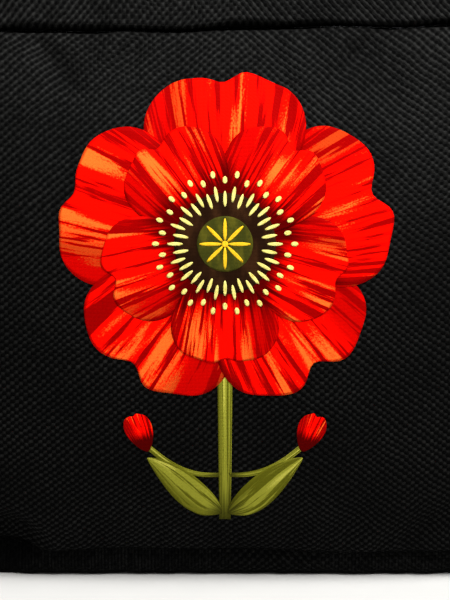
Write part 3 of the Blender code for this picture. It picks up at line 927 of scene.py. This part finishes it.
def add_node(tree, kind, *values, feeds=None, **settings):
    """Adds a shader node, sets its properties, and sets or links its inputs, which are in order or in one
    dictionary by name or number. A node as a value stands for its first output in use, and feeds is a
    socket that takes that of the new node."""
    made = tree.nodes.new("ShaderNode" + kind)
    for key, value in settings.items():
        setattr(made, key, value)
    inputs = values[0] if values and isinstance(values[0], dict) else dict(enumerate(values))
    for key, value in inputs.items():
        if isinstance(value, bpy.types.Node):
            value = next(socket for socket in value.outputs if socket.enabled)
        if isinstance(value, bpy.types.NodeSocket):
            tree.links.new(value, made.inputs[key])
        else:
            made.inputs[key].default_value = value
    if feeds:
        tree.links.new(next(socket for socket in made.outputs if socket.enabled), feeds)
    return made


def new_material(name, base, finish):
    """A material with only a Principled surface, whose sockets are set as the finish says. Returns the
    material, add_node for its tree, and the surface's sockets."""
    material = bpy.data.materials.new(name)
    material.use_nodes = True
    material.node_tree.nodes.clear()
    add = functools.partial(add_node, material.node_tree)
    shader = add("BsdfPrincipled", {"Base Color": base, **finish})
    add("OutputMaterial", shader)
    material.diffuse_color = base
    return material, add, shader.inputs


def ripple(add, value, pitch):
    """The sine of a value that repeats at every pitch."""
    return add("Math", add("Math", value, 2.0 * math.pi / pitch, operation="MULTIPLY"), operation="SINE")


def painted_shade_relief(add, surface, height, low, high, colours, depth):
    """Painted shade and light: colours a surface from dark to light as a height goes from low to high, and
    embosses the height.
    """
    shade = add("MapRange", height, low, high, **SMOOTH)
    dark, light = (linear(colour) for colour in colours)
    add("Mix", {0: shade, 6: dark, 7: light}, data_type="RGBA", feeds=surface["Base Color"])
    add("Bump", {"Height": height, "Distance": depth}, feeds=surface["Normal"])


def weave(add, warp_mm, weft_mm):
    """A plain weave on the thread places in mm: half the cosine of their difference less half the cosine
    of their sum, which is the product of two sines. It is above nothing where the upright thread is on top
    and below it where the level thread is. Where the cloth is pulled askew one of the two cosines
    outweighs the other, and the threads that are on top line up in slants. Returns that weave, its size,
    and the two thread places, apart and together."""
    place = add("UVMap", uv_map="Threads")
    across, up, _ = add("SeparateXYZ", place).outputs
    drift = add("TexNoise", {"Vector": place, "Scale": 0.11, "Detail": 2.0})
    slow = add("SeparateColor", drift.outputs["Color"]).outputs
    drift = add("TexNoise", {"Vector": place, "Scale": 0.7, "Detail": 1.0})
    quick = add("SeparateColor", drift.outputs["Color"]).outputs
    turns = []
    for value, drifts, pitch in ((across, (slow[0], quick[0]), warp_mm), (up, (slow[1], quick[1]), weft_mm)):
        for drift, share in zip(drifts, (9.0, 1.4)):
            value = add("Math", drift, share * THREAD_WANDER_MM, value, operation="MULTIPLY_ADD")
        turns.append(add("Math", value, math.pi / pitch, operation="MULTIPLY"))
    lean = add("Math", up, 0.006, -0.5, operation="MULTIPLY_ADD")
    lean = add("Math", across, 0.02, lean, operation="MULTIPLY_ADD")
    uneven = add("Math", slow[2], 0.5, operation="SUBTRACT")
    lean = add("Math", uneven, 1.8, lean, operation="MULTIPLY_ADD")
    most = add("Math", across, -0.35, up, operation="MULTIPLY_ADD")
    most = add("MapRange", most, 60.0, 88.0, 0.14, 0.44, **SMOOTH)
    lean = add("Math", lean, most, operation="MINIMUM")
    lean = add("Math", lean, add("Math", most, -1.0, operation="MULTIPLY"), operation="MAXIMUM")
    waves = []
    for joined, side in (("SUBTRACT", -0.5), ("ADD", 0.5)):
        wave = add("Math", add("Math", *turns, operation=joined), operation="COSINE")
        weight = add("Math", lean, side, 0.5, operation="MULTIPLY_ADD")
        waves.append(add("Math", wave, weight, operation="MULTIPLY"))
    product = add("Math", *waves, operation="SUBTRACT")
    size = add("Math", add("Math", product, operation="ABSOLUTE"), 0.6, operation="POWER")
    return product, size, across, up, place


def drawn_rib(add, glint, across, place, warp_mm, rib):
    """The glint of cloth drawn tight: the weave gives way to uneven ribs, the size of a sine across the
    upright threads. The cloth is slack to the right of the middle, and its glints fade at its left end as
    painted shade by the pushed-in corner."""
    ridge = add("Math", ripple(add, across, 2.0 * warp_mm / 1.3), operation="ABSOLUTE")
    tall = add("Mapping", {"Vector": place, "Scale": (1.1, 0.35, 1.0)})
    uneven = add("TexNoise", {"Vector": tall, "Scale": 1.0, "Detail": 2.0, "Roughness": 0.6})
    uneven = add("MapRange", uneven, 0.32, 0.72, 0.22, 0.95, **SMOOTH)
    ridge = add("Math", add("MapRange", ridge, 0.2, 1.0, **SMOOTH), uneven, operation="MULTIPLY")
    tight_again = add("MapRange", across, 12.0, 26.0, 0.0, 0.55, **SMOOTH)
    slack = add("Math", add("MapRange", across, -10.0, 6.0, **SMOOTH), tight_again, operation="SUBTRACT")
    drawn = add("Math", slack, -0.75 * rib, rib, operation="MULTIPLY_ADD")
    glint = add("Mix", {0: drawn, 2: glint, 3: ridge})
    # Painted shade: the glints fall to under a third at the base's left end, by the pushed-in corner.
    return add("Math", glint, add("MapRange", across, -41.0, -32.0, 0.3, 1.0, **SMOOTH), operation="MULTIPLY")


def woven_cloth_material(name, dark, bright, warp_mm, weft_mm, rib=0.0):
    """Black polyester canvas in a plain weave: soft grey glints on the level threads, near black between
    them. Where rib is above nothing the upright threads show as that much of an uneven rib, as on cloth
    drawn tight."""
    material, add, surface = new_material(name, dark, {"Roughness": 0.62, "Specular IOR Level": 0.02})
    product, size, across, up, place = weave(add, warp_mm, weft_mm)
    # Painted light: the glints spread wider towards the top, as if the top were lit more from above.
    width = add("MapRange", up, 35.0, 95.0, 0.3, 0.8, **SMOOTH)
    level_on_top = add("MapRange", product, width, -0.8)
    upright_on_top = add("MapRange", product, 0.4, 0.95, **SMOOTH)
    glint = add("Math", upright_on_top, 0.03, level_on_top, operation="MULTIPLY_ADD")
    if rib:
        glint = drawn_rib(add, glint, across, place, warp_mm, rib)
    slubs = add("TexNoise", {"Vector": place, "Scale": 0.9, "Detail": 3.0, "Roughness": 0.6})
    # The glints are dimmer in large soft patches at random.
    large_patches = add("TexNoise", {"Vector": place, "Scale": 0.06, "Detail": 3.0})
    for value, low, high, start, end in (
        (slubs, 0.3, 0.72, 0.35, 1.15),
        (large_patches, 0.32, 0.68, 0.66, 1.14),
        # painted light: the glints fade towards the bottom, as if the cloth were lit from above
        (up, 15.0, 95.0, 0.72, 1.0),
    ):
        tone_and_painted_light = add("MapRange", value, low, high, start, end, **SMOOTH)
        glint = add("Math", glint, tone_and_painted_light, operation="MULTIPLY")
    # The glints are painted highlights: a lighter colour on the level threads, where light from above would
    # catch them, not a reflection.
    add("Mix", {0: glint, 6: dark, 7: bright}, data_type="RGBA", feeds=surface["Base Color"])
    stretched = add("Mapping", {"Vector": place, "Scale": (2.0, 14.0, 1.0)})
    filaments = add("TexNoise", {"Vector": stretched, "Scale": 1.0, "Detail": 2.0, "Roughness": 0.7})
    height = add("Math", filaments, 0.12, size, operation="MULTIPLY_ADD")
    add("Bump", {"Height": height, "Distance": 0.15 * MM}, feeds=surface["Normal"])
    shine = add("Math", filaments, 0.2, level_on_top, operation="MULTIPLY_ADD")
    add("MapRange", shine, 0.1, 1.0, 0.85, 0.48, **SMOOTH, feeds=surface["Roughness"])
    return material


def new_ink(name, base, pitches):
    """Screen-printed ink: an opaque satin film with the weave faintly through it. Returns as new_material."""
    material, add, surface = new_material(name, base, {"Roughness": 0.65, "Specular IOR Level": 0.01})
    size = weave(add, *pitches)[1]
    add("Bump", {"Height": size, "Distance": 0.04 * MM, "Strength": 0.7}, feeds=surface["Normal"])
    return material, add, surface


def painted_ink_material(name, colours, streaks, foot, rim, pitches):
    """Ink painted in streaks from a shape's foot to its tip: lit near the tip between the streaks, shaded
    in them, on one side and round the rim, and deepest at the foot. colours are body, shade, deep shade
    and light; streaks is how many a shape has across, foot is how far up the deep shade reaches, and rim
    is how strong a round rim's outline is."""
    body, shade, deep, light = colours
    material, add, surface = new_ink(name, body, pitches)
    shape = add("UVMap", uv_map="Shape")
    side, up, _ = add("SeparateXYZ", shape).outputs
    stretched = add("Mapping", {"Vector": shape, "Scale": (streaks, 0.9, 1.0)})
    moved = add("VectorMath", stretched, add("UVMap", uv_map="Shift"), operation="ADD")
    fine = add("TexNoise", {"Vector": moved, "Scale": 1.0, "Detail": 4.0, "Roughness": 0.6})
    widened = add("Mapping", {"Vector": moved, "Scale": (0.32, 0.8, 1.0)})
    broad = add("TexNoise", {"Vector": widened, "Scale": 1.0, "Detail": 1.0})
    grain = add("TexNoise", {"Vector": shape, "Scale": 60.0, "Detail": 1.0})

    lit = add("MapRange", broad, 0.46, 0.62, **SMOOTH)
    lit = add("Math", lit, add("MapRange", up, 0.25, 0.75, **SMOOTH), operation="MULTIPLY")
    lit = add("Math", lit, add("MapRange", fine, 0.62, 0.4, **SMOOTH), operation="MULTIPLY")
    lit = add("Math", grain, 0.9, lit, operation="MULTIPLY_ADD")
    lit = add("MapRange", lit, 0.72, 1.3, **SMOOTH)

    under = add("Math", fine, 0.5, side, operation="MULTIPLY_ADD")
    under = add("MapRange", under, 0.0, -0.35, 0.0, 0.7, **SMOOTH)
    outwards = add("Math", side, operation="ABSOLUTE")
    fold = add("MapRange", add("Math", outwards, 0.14, fine, operation="MULTIPLY_ADD"), 0.54, 0.62, **SMOOTH)
    high = add("Math", up, 2.0, -1.0, operation="MULTIPLY_ADD")
    outline = add("Math", side, side, add("Math", high, high, operation="MULTIPLY"), operation="MULTIPLY_ADD")
    outline = add("MapRange", outline, 0.93, 0.97, 0.0, rim, **SMOOTH)
    shaded = add("Math", add("Math", fold, under, operation="MAXIMUM"), outline, operation="MAXIMUM")

    at_foot = add("Math", fine, -0.5, up, operation="MULTIPLY_ADD")
    at_foot = add("MapRange", at_foot, foot - 0.1, foot - 0.35, **SMOOTH)
    colour = add("Mix", {0: lit, 6: body, 7: light}, data_type="RGBA")
    colour = add("Mix", {0: shaded, 6: colour, 7: shade}, data_type="RGBA")
    add("Mix", {0: at_foot, 6: colour, 7: deep}, data_type="RGBA", feeds=surface["Base Color"])
    return material


def thin_ink_material(name, first, second, pitches):
    """Ink in one colour that turns to a second in soft clouds, where it went on thin."""
    material, add, surface = new_ink(name, first, pitches)
    moved = add("VectorMath", add("UVMap", uv_map="Shape"), add("UVMap", uv_map="Shift"), operation="ADD")
    clouds = add("TexNoise", {"Vector": moved, "Scale": 2.6, "Detail": 3.0})
    clouds = add("MapRange", clouds, 0.42, 0.66, **SMOOTH)
    add("Mix", {0: clouds, 6: first, 7: second}, data_type="RGBA", feeds=surface["Base Color"])
    return material


def foam_material():
    """Closed-cell foam sheet, sliced from a block: a matte grey full of cut cells about 0.7 mm across."""
    material, add, surface = new_material("sliced_foam_sheet", linear("#6E6F72"), {"Roughness": 0.95})
    place = add("TexCoord").outputs["Object"]
    cells = add("TexVoronoi", {"Vector": place, "Scale": 1400.0})
    # Painted shade in the cut cells, painted light on their rims.
    painted_shade_relief(add, surface, cells, 0.0, 0.6, ("#4A4B4E", "#8A8B8E"), 0.3 * MM)
    return material


def lining_material():
    """Dyed polyester taffeta: a fine close weave with a little shine, threads 0.35 mm apart."""
    material, add, surface = new_material("polyester_taffeta", linear("#17181B"), {"Roughness": 0.45})
    x, y, z = add("SeparateXYZ", add("TexCoord").outputs["Object"]).outputs
    waves = [ripple(add, value, 0.7 * MM) for value in (add("Math", x, y, operation="ADD"), z)]
    threads = add("Math", *waves, operation="MULTIPLY")
    # Painted shade on the low threads, painted light on the high ones.
    painted_shade_relief(add, surface, threads, -1.0, 1.0, ("#101114", "#24262A"), 0.05 * MM)
    return material


def tape_material():
    """Twill-woven polyester zip tape: dull black ribs along the zip in a herringbone, 0.45 mm apart."""
    finish = {"Roughness": 0.8, "Specular IOR Level": 0.12}
    material, add, surface = new_material("twill_zip_tape", linear("#0A0A0B"), finish)
    x, y, _ = add("SeparateXYZ", add("TexCoord").outputs["Object"]).outputs
    rib = add("Math", ripple(add, y, 0.9 * MM), operation="ABSOLUTE")
    loops = ripple(add, add("Math", rib, 0.4 * MM, x, operation="MULTIPLY_ADD"), 0.7 * MM)
    height = add("Math", loops, 0.4, rib, operation="MULTIPLY_ADD")
    # Painted shade between the ribs, painted light on them.
    painted_shade_relief(add, surface, height, 0.0, 1.3, ("#050506", "#1C1C1E"), 0.12 * MM)
    return material


def filament_material():
    """Extruded nylon filament, dyed black: smooth, with the soft shine of plastic and slight drawn lines."""
    finish = {"Roughness": 0.38, "IOR": 1.53}
    material, add, surface = new_material("dyed_nylon_filament", linear("#0B0B0C"), finish)
    place = add("TexCoord").outputs["Object"]
    drift = add("TexNoise", {"Vector": place, "Scale": 900.0})
    mixed = {0: drift, 6: linear("#070708"), 7: linear("#161617")}
    add("Mix", mixed, data_type="RGBA", feeds=surface["Base Color"])
    add("MapRange", drift, 0.3, 0.7, 0.3, 0.48, **SMOOTH, feeds=surface["Roughness"])
    add("Bump", {"Height": drift, "Distance": 0.02 * MM, "Strength": 0.5}, feeds=surface["Normal"])
    return material


def plated_metal_material():
    """Zinc die-casting, tumbled and black-nickel plated: dark grey, a little brighter where it is rubbed."""
    finish = {"Roughness": 0.38, "Metallic": 1.0}
    material, add, surface = new_material("black_nickel_plate", linear("#3D3C40"), finish)
    place = add("TexCoord").outputs["Object"]
    cloudy = add("TexNoise", {"Vector": place, "Scale": 160.0, "Detail": 1.0})
    cloudy = add("MapRange", cloudy, 0.35, 0.65, **SMOOTH)
    rubbed = add("TexNoise", {"Vector": place, "Scale": 90.0, "Detail": 1.0})
    rubbed = add("MapRange", rubbed, 0.5, 0.75, 0.0, 0.3, **SMOOTH)
    colour = add("Mix", {0: cloudy, 6: linear("#333236"), 7: linear("#48474B")}, data_type="RGBA")
    add("Mix", {0: rubbed, 6: colour, 7: linear("#8E8D8A")}, data_type="RGBA", feeds=surface["Base Color"])
    polish = add("TexNoise", {"Vector": place, "Scale": 240.0, "Detail": 1.0})
    add("MapRange", polish, 0.3, 0.7, 0.35, 0.42, **SMOOTH, feeds=surface["Roughness"])
    return material


def thread_material():
    """Twisted polyester sewing thread, black, with its twist every 0.5 mm."""
    material, add, surface = new_material("twisted_polyester_thread", linear("#121213"), {"Roughness": 0.6})
    x, y, z = add("SeparateXYZ", add("TexCoord").outputs["Object"]).outputs
    slant = add("Math", add("Math", x, y, operation="ADD"), z, operation="ADD")
    # Painted shade in the twist's grooves, painted light on its ridges.
    painted_shade_relief(add, surface, ripple(add, slant, 0.5 * MM), -1.0, 1.0, ("#0A0A0B", "#2A2A2C"), 0.05 * MM)
    return material


def floor_material():
    """A matt painted board, off white, with a faint roller grain."""
    material, add, surface = new_material("matt_painted_board", linear("#C0BFBC"), {"Roughness": 0.8})
    place = add("TexCoord").outputs["Object"]
    grain = add("TexNoise", {"Vector": place, "Scale": 60.0, "Detail": 3.0})
    mixed = {0: grain, 6: linear("#BCBBB8"), 7: linear("#C4C3C0")}
    add("Mix", mixed, data_type="RGBA", feeds=surface["Base Color"])
    return material


# ---------------------------------------------------------------- settings a user would change

def colour_setting(name, hex_colour, description):
    """A colour that a user may change."""
    settings = {"subtype": "COLOR", "size": 4, "min": 0.0, "max": 1.0, "default": linear(hex_colour)}
    return bpy.props.FloatVectorProperty(name=name, description=description, **settings)


def number_setting(name, default, description, **settings):
    """A number that a user may change, with its limits and its unit."""
    return bpy.props.FloatProperty(name=name, description=description, default=default, **settings)


class PouchClothSettings(bpy.types.PropertyGroup):
    """Sizes and colours of the woven cloth."""

    warp_pitch: number_setting(
        "Upright thread pitch", WARP_PITCH_MM, "Millimetres between upright threads", min=0.2, max=3.0
    )
    weft_pitch: number_setting(
        "Level thread pitch", WEFT_PITCH_MM, "Millimetres between level threads", min=0.2, max=3.0
    )
    dark: colour_setting("Thread shadow", "#020202", "Colour of the cloth between the raised threads")
    bright: colour_setting("Thread glint", "#1E1E1D", "Colour of the raised threads")


class PouchPrintSettings(bpy.types.PropertyGroup):
    """Place, size and colours of the printed blossom."""

    centre_x: number_setting("Blossom across", 0.0, "Place of its middle across the panel", unit="LENGTH")
    centre_z: number_setting(
        "Blossom height", 0.0702, "Height of the blossom's middle", min=0.03, max=0.08, unit="LENGTH"
    )
    radius: number_setting(
        "Blossom radius", 0.0311, "From its middle to a petal's tip", min=0.01, max=0.034, unit="LENGTH"
    )
    red: colour_setting("Petal red", "#F60600", "Main colour of the petals")
    maroon: colour_setting("Petal shade", "#8A0000", "Colour of the folds between the petals' streaks")
    orange: colour_setting("Petal light", "#F4601F", "Colour of the lit tips of the petals")
    olive: colour_setting("Stem green", "#8C8C2C", "Main colour of the stem and leaves")


class PouchStageSettings(bpy.types.PropertyGroup):
    """Camera and lights."""

    lens: number_setting("Lens", 178.9, "Focal length of the camera in millimetres", min=20.0, max=300.0)
    distance: number_setting(
        "Camera distance", 0.60, "From the camera to the pouch's foot", min=0.1, max=2.0, unit="LENGTH"
    )
    rise: number_setting("Camera rise", 0.0508, "From the pouch's foot to the view's middle", unit="LENGTH")
    elevation: number_setting(
        "Camera tilt", math.radians(13.0), "How far down the camera looks", subtype="ANGLE"
    )
    key: number_setting("Key light", 7.6, "Power of the main light in watts", min=0.0, max=200.0)


# ---------------------------------------------------------------- operators

class POUCH_OT_cloth(bpy.types.Operator):
    """Builds the seven cloth panels, filled out and gathered at their seams, and their foam and lining"""

    bl_idname = "pouch.cloth"
    bl_label = "Cloth panels"

    def execute(self, context):
        look = context.scene.pouch_cloth
        pitches = (look.warp_pitch, look.weft_pitch)
        canvas = woven_cloth_material("plain_weave_polyester", look.dark, look.bright, *pitches)
        foam, lining = foam_material(), lining_material()
        # Painted shade: the base's cloth takes the canvas's colours a twentieth darker, as it lies
        # underneath.
        under = [tuple(0.95 * c for c in colour[:3]) + (1.0,) for colour in (look.dark, look.bright)]
        base = woven_cloth_material("drawn_weave_polyester", *under, *pitches, rib=0.95)
        for name in filled_cloth():
            add_cloth_panel(name, base if name == "base" else canvas)
            add_backing(name, foam, lining)
        return {"FINISHED"}


class POUCH_OT_print(bpy.types.Operator):
    """Lays the printed blossom, its stem, leaves and buds on the front panel"""

    bl_idname = "pouch.print"
    bl_label = "Printed blossom"

    def execute(self, context):
        look = context.scene.pouch_print
        cloth = context.scene.pouch_cloth
        pitches = (cloth.warp_pitch, cloth.weft_pitch)
        centre = (look.centre_x / MM, look.centre_z / MM)
        radius = look.radius / MM
        self.add_stem(look, pitches, centre, radius)
        self.add_petals(look, pitches, centre, radius)
        self.add_middle(pitches, centre, radius)
        return {"FINISHED"}

    def add_stem(self, look, pitches, centre, radius):
        """The stem with a leaf and a budding side stalk on either side, in millimetres."""
        x = centre[0]
        shapes = [stalk((x, 13.5), (x, centre[1] - 0.6 * radius), 1.15, 0.0, LIFTS_MM["stalk"], 1.0)]
        for side in (-1.0, 1.0):
            root, fork, tip = (x + 0.6 * side, 15.0), (x + 0.8 * side, 24.0), (x + 14.5 * side, 30.5)
            shapes.append(leaf(root, side * 0.95, 19.0, 3.1, -2.5 * side, LIFTS_MM["leaf"], 3.0 + side))
            shapes.append(stalk(fork, tip, 0.5, 1.6 * side, LIFTS_MM["stalk"], 5.0 + side))
        colours = (look.olive, linear("#565610"), linear("#3A3A0C"), linear("#B4B048"))
        ink = painted_ink_material("leaf_screen_ink", colours, 3.0, 0.1, 0.0, pitches)
        add_film("print_stem", shapes, ink)

    def add_petals(self, look, pitches, centre, radius):
        """The outer petals a fifth of a turn apart, the smaller inner ones half way between, and two buds."""
        step = 2.0 * math.pi / PETALS
        shapes = []
        for i in range(PETALS):
            lift, shift = LIFTS_MM["outer_petal"], 2.3 + 5.1 * i
            shapes.append(petal(centre, step * i, 4.0, radius, 0.6 * radius, 2.4, lift, 0.03, shift))
        for i in range(PETALS):
            lift, shift = LIFTS_MM["inner_petal"], 31.7 + 4.3 * i
            turn = step * (i + 0.5)
            shapes.append(petal(centre, turn, 3.0, 0.74 * radius, 0.4 * radius, 1.5, lift, 0.03, shift))
        for side in (-1.0, 1.0):
            bud, lift = (centre[0] + 14.5 * side, 29.5), LIFTS_MM["bud"]
            shapes.append(petal(bud, 0.35 * side, 0.0, 8.2, 3.3, 0.6, lift, 0.02 * side, 60.0 + side))
        colours = (look.red, look.maroon, linear("#4A0000"), look.orange)
        ink = painted_ink_material("petal_screen_ink", colours, 11.0, 0.42, 0.55, pitches)
        add_film("print_petals", shapes, ink)

    def add_middle(self, pitches, centre, radius):
        """The dark ground, two rings of stamens, the seed pod and its rays, in millimetres."""
        brown = thin_ink_material("dark_screen_ink", linear("#1C0E06"), linear("#2E1A0C"), pitches)
        add_film("print_centre_ground", [disc(centre, 0.30 * radius, LIFTS_MM["ground"])], brown)
        shapes = []
        for i in range(STAMENS):
            turn, outer, lift = 2.0 * math.pi * i / STAMENS, i % 2, LIFTS_MM["stamen"]
            shapes.append(spot(centre, turn, (0.265 + 0.03 * outer) * radius, 1.45, 0.33, lift, 0.9 * i))
            shapes.append(spot(centre, turn, (0.375 + 0.035 * outer) * radius, 0.66, 0.42, lift, 0.7 * i))
        cream = thin_ink_material("cream_screen_ink", linear("#DDD27C"), linear("#B5A54A"), pitches)
        add_film("print_stamens", shapes, cream)
        pod = thin_ink_material("pod_screen_ink", linear("#33340F"), linear("#4A4713"), pitches)
        add_film("print_pod", [disc(centre, 0.165 * radius, LIFTS_MM["pod"])], pod)
        shapes = []
        for i in range(RAYS):
            turn = 2.0 * math.pi * i / RAYS
            shapes.append(spot(centre, turn, 0.085 * radius, 2.1, 0.34, LIFTS_MM["ray"], 1.3 * i))
        shapes.append(spot(centre, 0.0, 0.0, 0.6, 0.6, LIFTS_MM["dot"], 0.4))
        mustard = thin_ink_material("mustard_screen_ink", linear("#E2B424"), linear("#C89A18"), pitches)
        add_film("print_pod_rays", shapes, mustard)


class POUCH_OT_zip(bpy.types.Operator):
    """Winds the zip's two coils, folds its end tabs and sews the panels' edges to the tape"""

    bl_idname = "pouch.zip"
    bl_label = "Zip"

    def execute(self, context):
        look = context.scene.pouch_cloth
        nylon = filament_material()
        add_coil("zip_coil_front", -1.0, nylon)
        add_coil("zip_coil_back", 1.0, nylon)
        strap = woven_cloth_material("plain_weave_strap", look.dark, look.bright, 0.55, 0.5)
        for side in ("left", "right"):
            solid = "zip_end_tab_" + side
            mesh = tab_mesh("strap_end_" + side, *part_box(solid))
            piece = add_piece("strap_end_" + side, mesh, strap, [solid])
        thread = thread_material()
        add_topstitch("top_band_front", -1.0, thread)
        add_topstitch("top_band_back", 1.0, thread)
        return {"FINISHED"}


class POUCH_OT_solids(bpy.types.Operator):
    """Gives the solids that stay in view their finishes"""

    bl_idname = "pouch.solids"
    bl_label = "Solids' finishes"

    def execute(self, context):
        tape, metal = tape_material(), plated_metal_material()
        finishes = {"zip_tape_": tape, "zip_slider": metal, "zip_top_stop_": metal, "pull_tab": metal}
        for name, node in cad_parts.items():
            for start, material in finishes.items():
                if name.startswith(start):
                    node.data.materials.clear()
                    node.data.materials.append(material)
        return {"FINISHED"}


class POUCH_OT_stage(bpy.types.Operator):
    """Sets the pale floor, the soft lights and the camera"""

    bl_idname = "pouch.stage"
    bl_label = "Stage"

    def execute(self, context):
        look = context.scene.pouch_stage
        scene = context.scene
        corners = np.array([[-1.2, -1.2, 0.0], [1.2, -1.2, 0.0], [1.2, 1.2, 0.0], [-1.2, 1.2, 0.0]])
        floor = bpy.data.objects.new("floor", polygon_mesh("floor", corners, np.array([[0, 1, 2, 3]])))
        floor.data.materials.append(floor_material())
        scene.collection.objects.link(floor)
        self.add_lights(scene, look.key)
        self.add_camera(scene, look)
        return {"FINISHED"}

    def add_lights(self, scene, key):
        """A dim even room and three square lights, placed and sized in metres, all aimed at the pouch."""
        world = bpy.data.worlds.new("soft_room")
        scene.world = world
        world.use_nodes = True
        background = world.node_tree.nodes["Background"].inputs
        background["Color"].default_value = linear("#ECECEB")
        background["Strength"].default_value = 0.10
        for name, place, size, power in (
            ("key_light", (0.16, -0.27, 0.54), 0.30, key),
            ("fill_light", (-0.1, -0.6, 0.62), 0.3, 0.2 * key),
            ("back_light", (0.1, 0.6, 0.5), 0.5, 0.6 * key),
        ):
            data = bpy.data.lights.new(name, "AREA")
            data.size = size
            data.energy = power
            lamp = bpy.data.objects.new(name, data)
            lamp.location = place
            aim = mathutils.Vector((0.0, 0.0, 0.07)) - lamp.location
            lamp.rotation_euler = aim.to_track_quat("-Z", "Y").to_euler()
            scene.collection.objects.link(lamp)

    def add_camera(self, scene, look):
        """The camera before the pouch, tilted down: back by the distance, up by the rise in its own view."""
        lens = bpy.data.cameras.new("camera")
        lens.lens = look.lens
        lens.sensor_width = 36.0
        lens.clip_start = 0.005
        camera = bpy.data.objects.new("camera", lens)
        tilt = look.elevation
        forward = np.array([0.0, math.cos(tilt), -math.sin(tilt)])
        upward = np.array([0.0, math.sin(tilt), math.cos(tilt)])
        camera.location = look.rise * upward - look.distance * forward
        camera.rotation_euler = (0.5 * math.pi - tilt, 0.0, 0.0)
        scene.collection.objects.link(camera)
        scene.camera = camera
        scene.view_settings.view_transform = "Standard"


class POUCH_PT_looks(bpy.types.Panel):
    """Lists the pouch's settings and the steps that build it"""

    bl_idname = "POUCH_PT_looks"
    bl_label = "Zip Pouch"
    bl_space_type = "VIEW_3D"
    bl_region_type = "UI"
    bl_category = "Zip Pouch"

    def draw(self, context):
        """Every setting in a box for its group, then a button for each step."""
        for group in (context.scene.pouch_cloth, context.scene.pouch_print, context.scene.pouch_stage):
            box = self.layout.box()
            for key in group.__annotations__:
                box.prop(group, key)
        for step in STEPS:
            self.layout.operator(step.bl_idname)


STEPS = (POUCH_OT_cloth, POUCH_OT_print, POUCH_OT_zip, POUCH_OT_solids, POUCH_OT_stage)
GROUPS = {
    "pouch_cloth": PouchClothSettings,
    "pouch_print": PouchPrintSettings,
    "pouch_stage": PouchStageSettings,
}


def register():
    """Makes the settings, the steps and the panel known to Blender."""
    for group in GROUPS.values():
        bpy.utils.register_class(group)
    for step in STEPS:
        bpy.utils.register_class(step)
    bpy.utils.register_class(POUCH_PT_looks)
    for key, group in GROUPS.items():
        setattr(bpy.types.Scene, key, bpy.props.PointerProperty(type=group))


def unregister():
    """Takes the settings, the steps and the panel out of Blender again."""
    for key in GROUPS:
        delattr(bpy.types.Scene, key)
    for made in (POUCH_PT_looks, *STEPS, *GROUPS.values()):
        bpy.utils.unregister_class(made)


def main():
    """Builds the pouch and its stage step by step."""
    register()
    bpy.ops.pouch.cloth()
    bpy.ops.pouch.print()
    bpy.ops.pouch.zip()
    bpy.ops.pouch.solids()
    bpy.ops.pouch.stage()


if __name__ == "__main__":
    main()
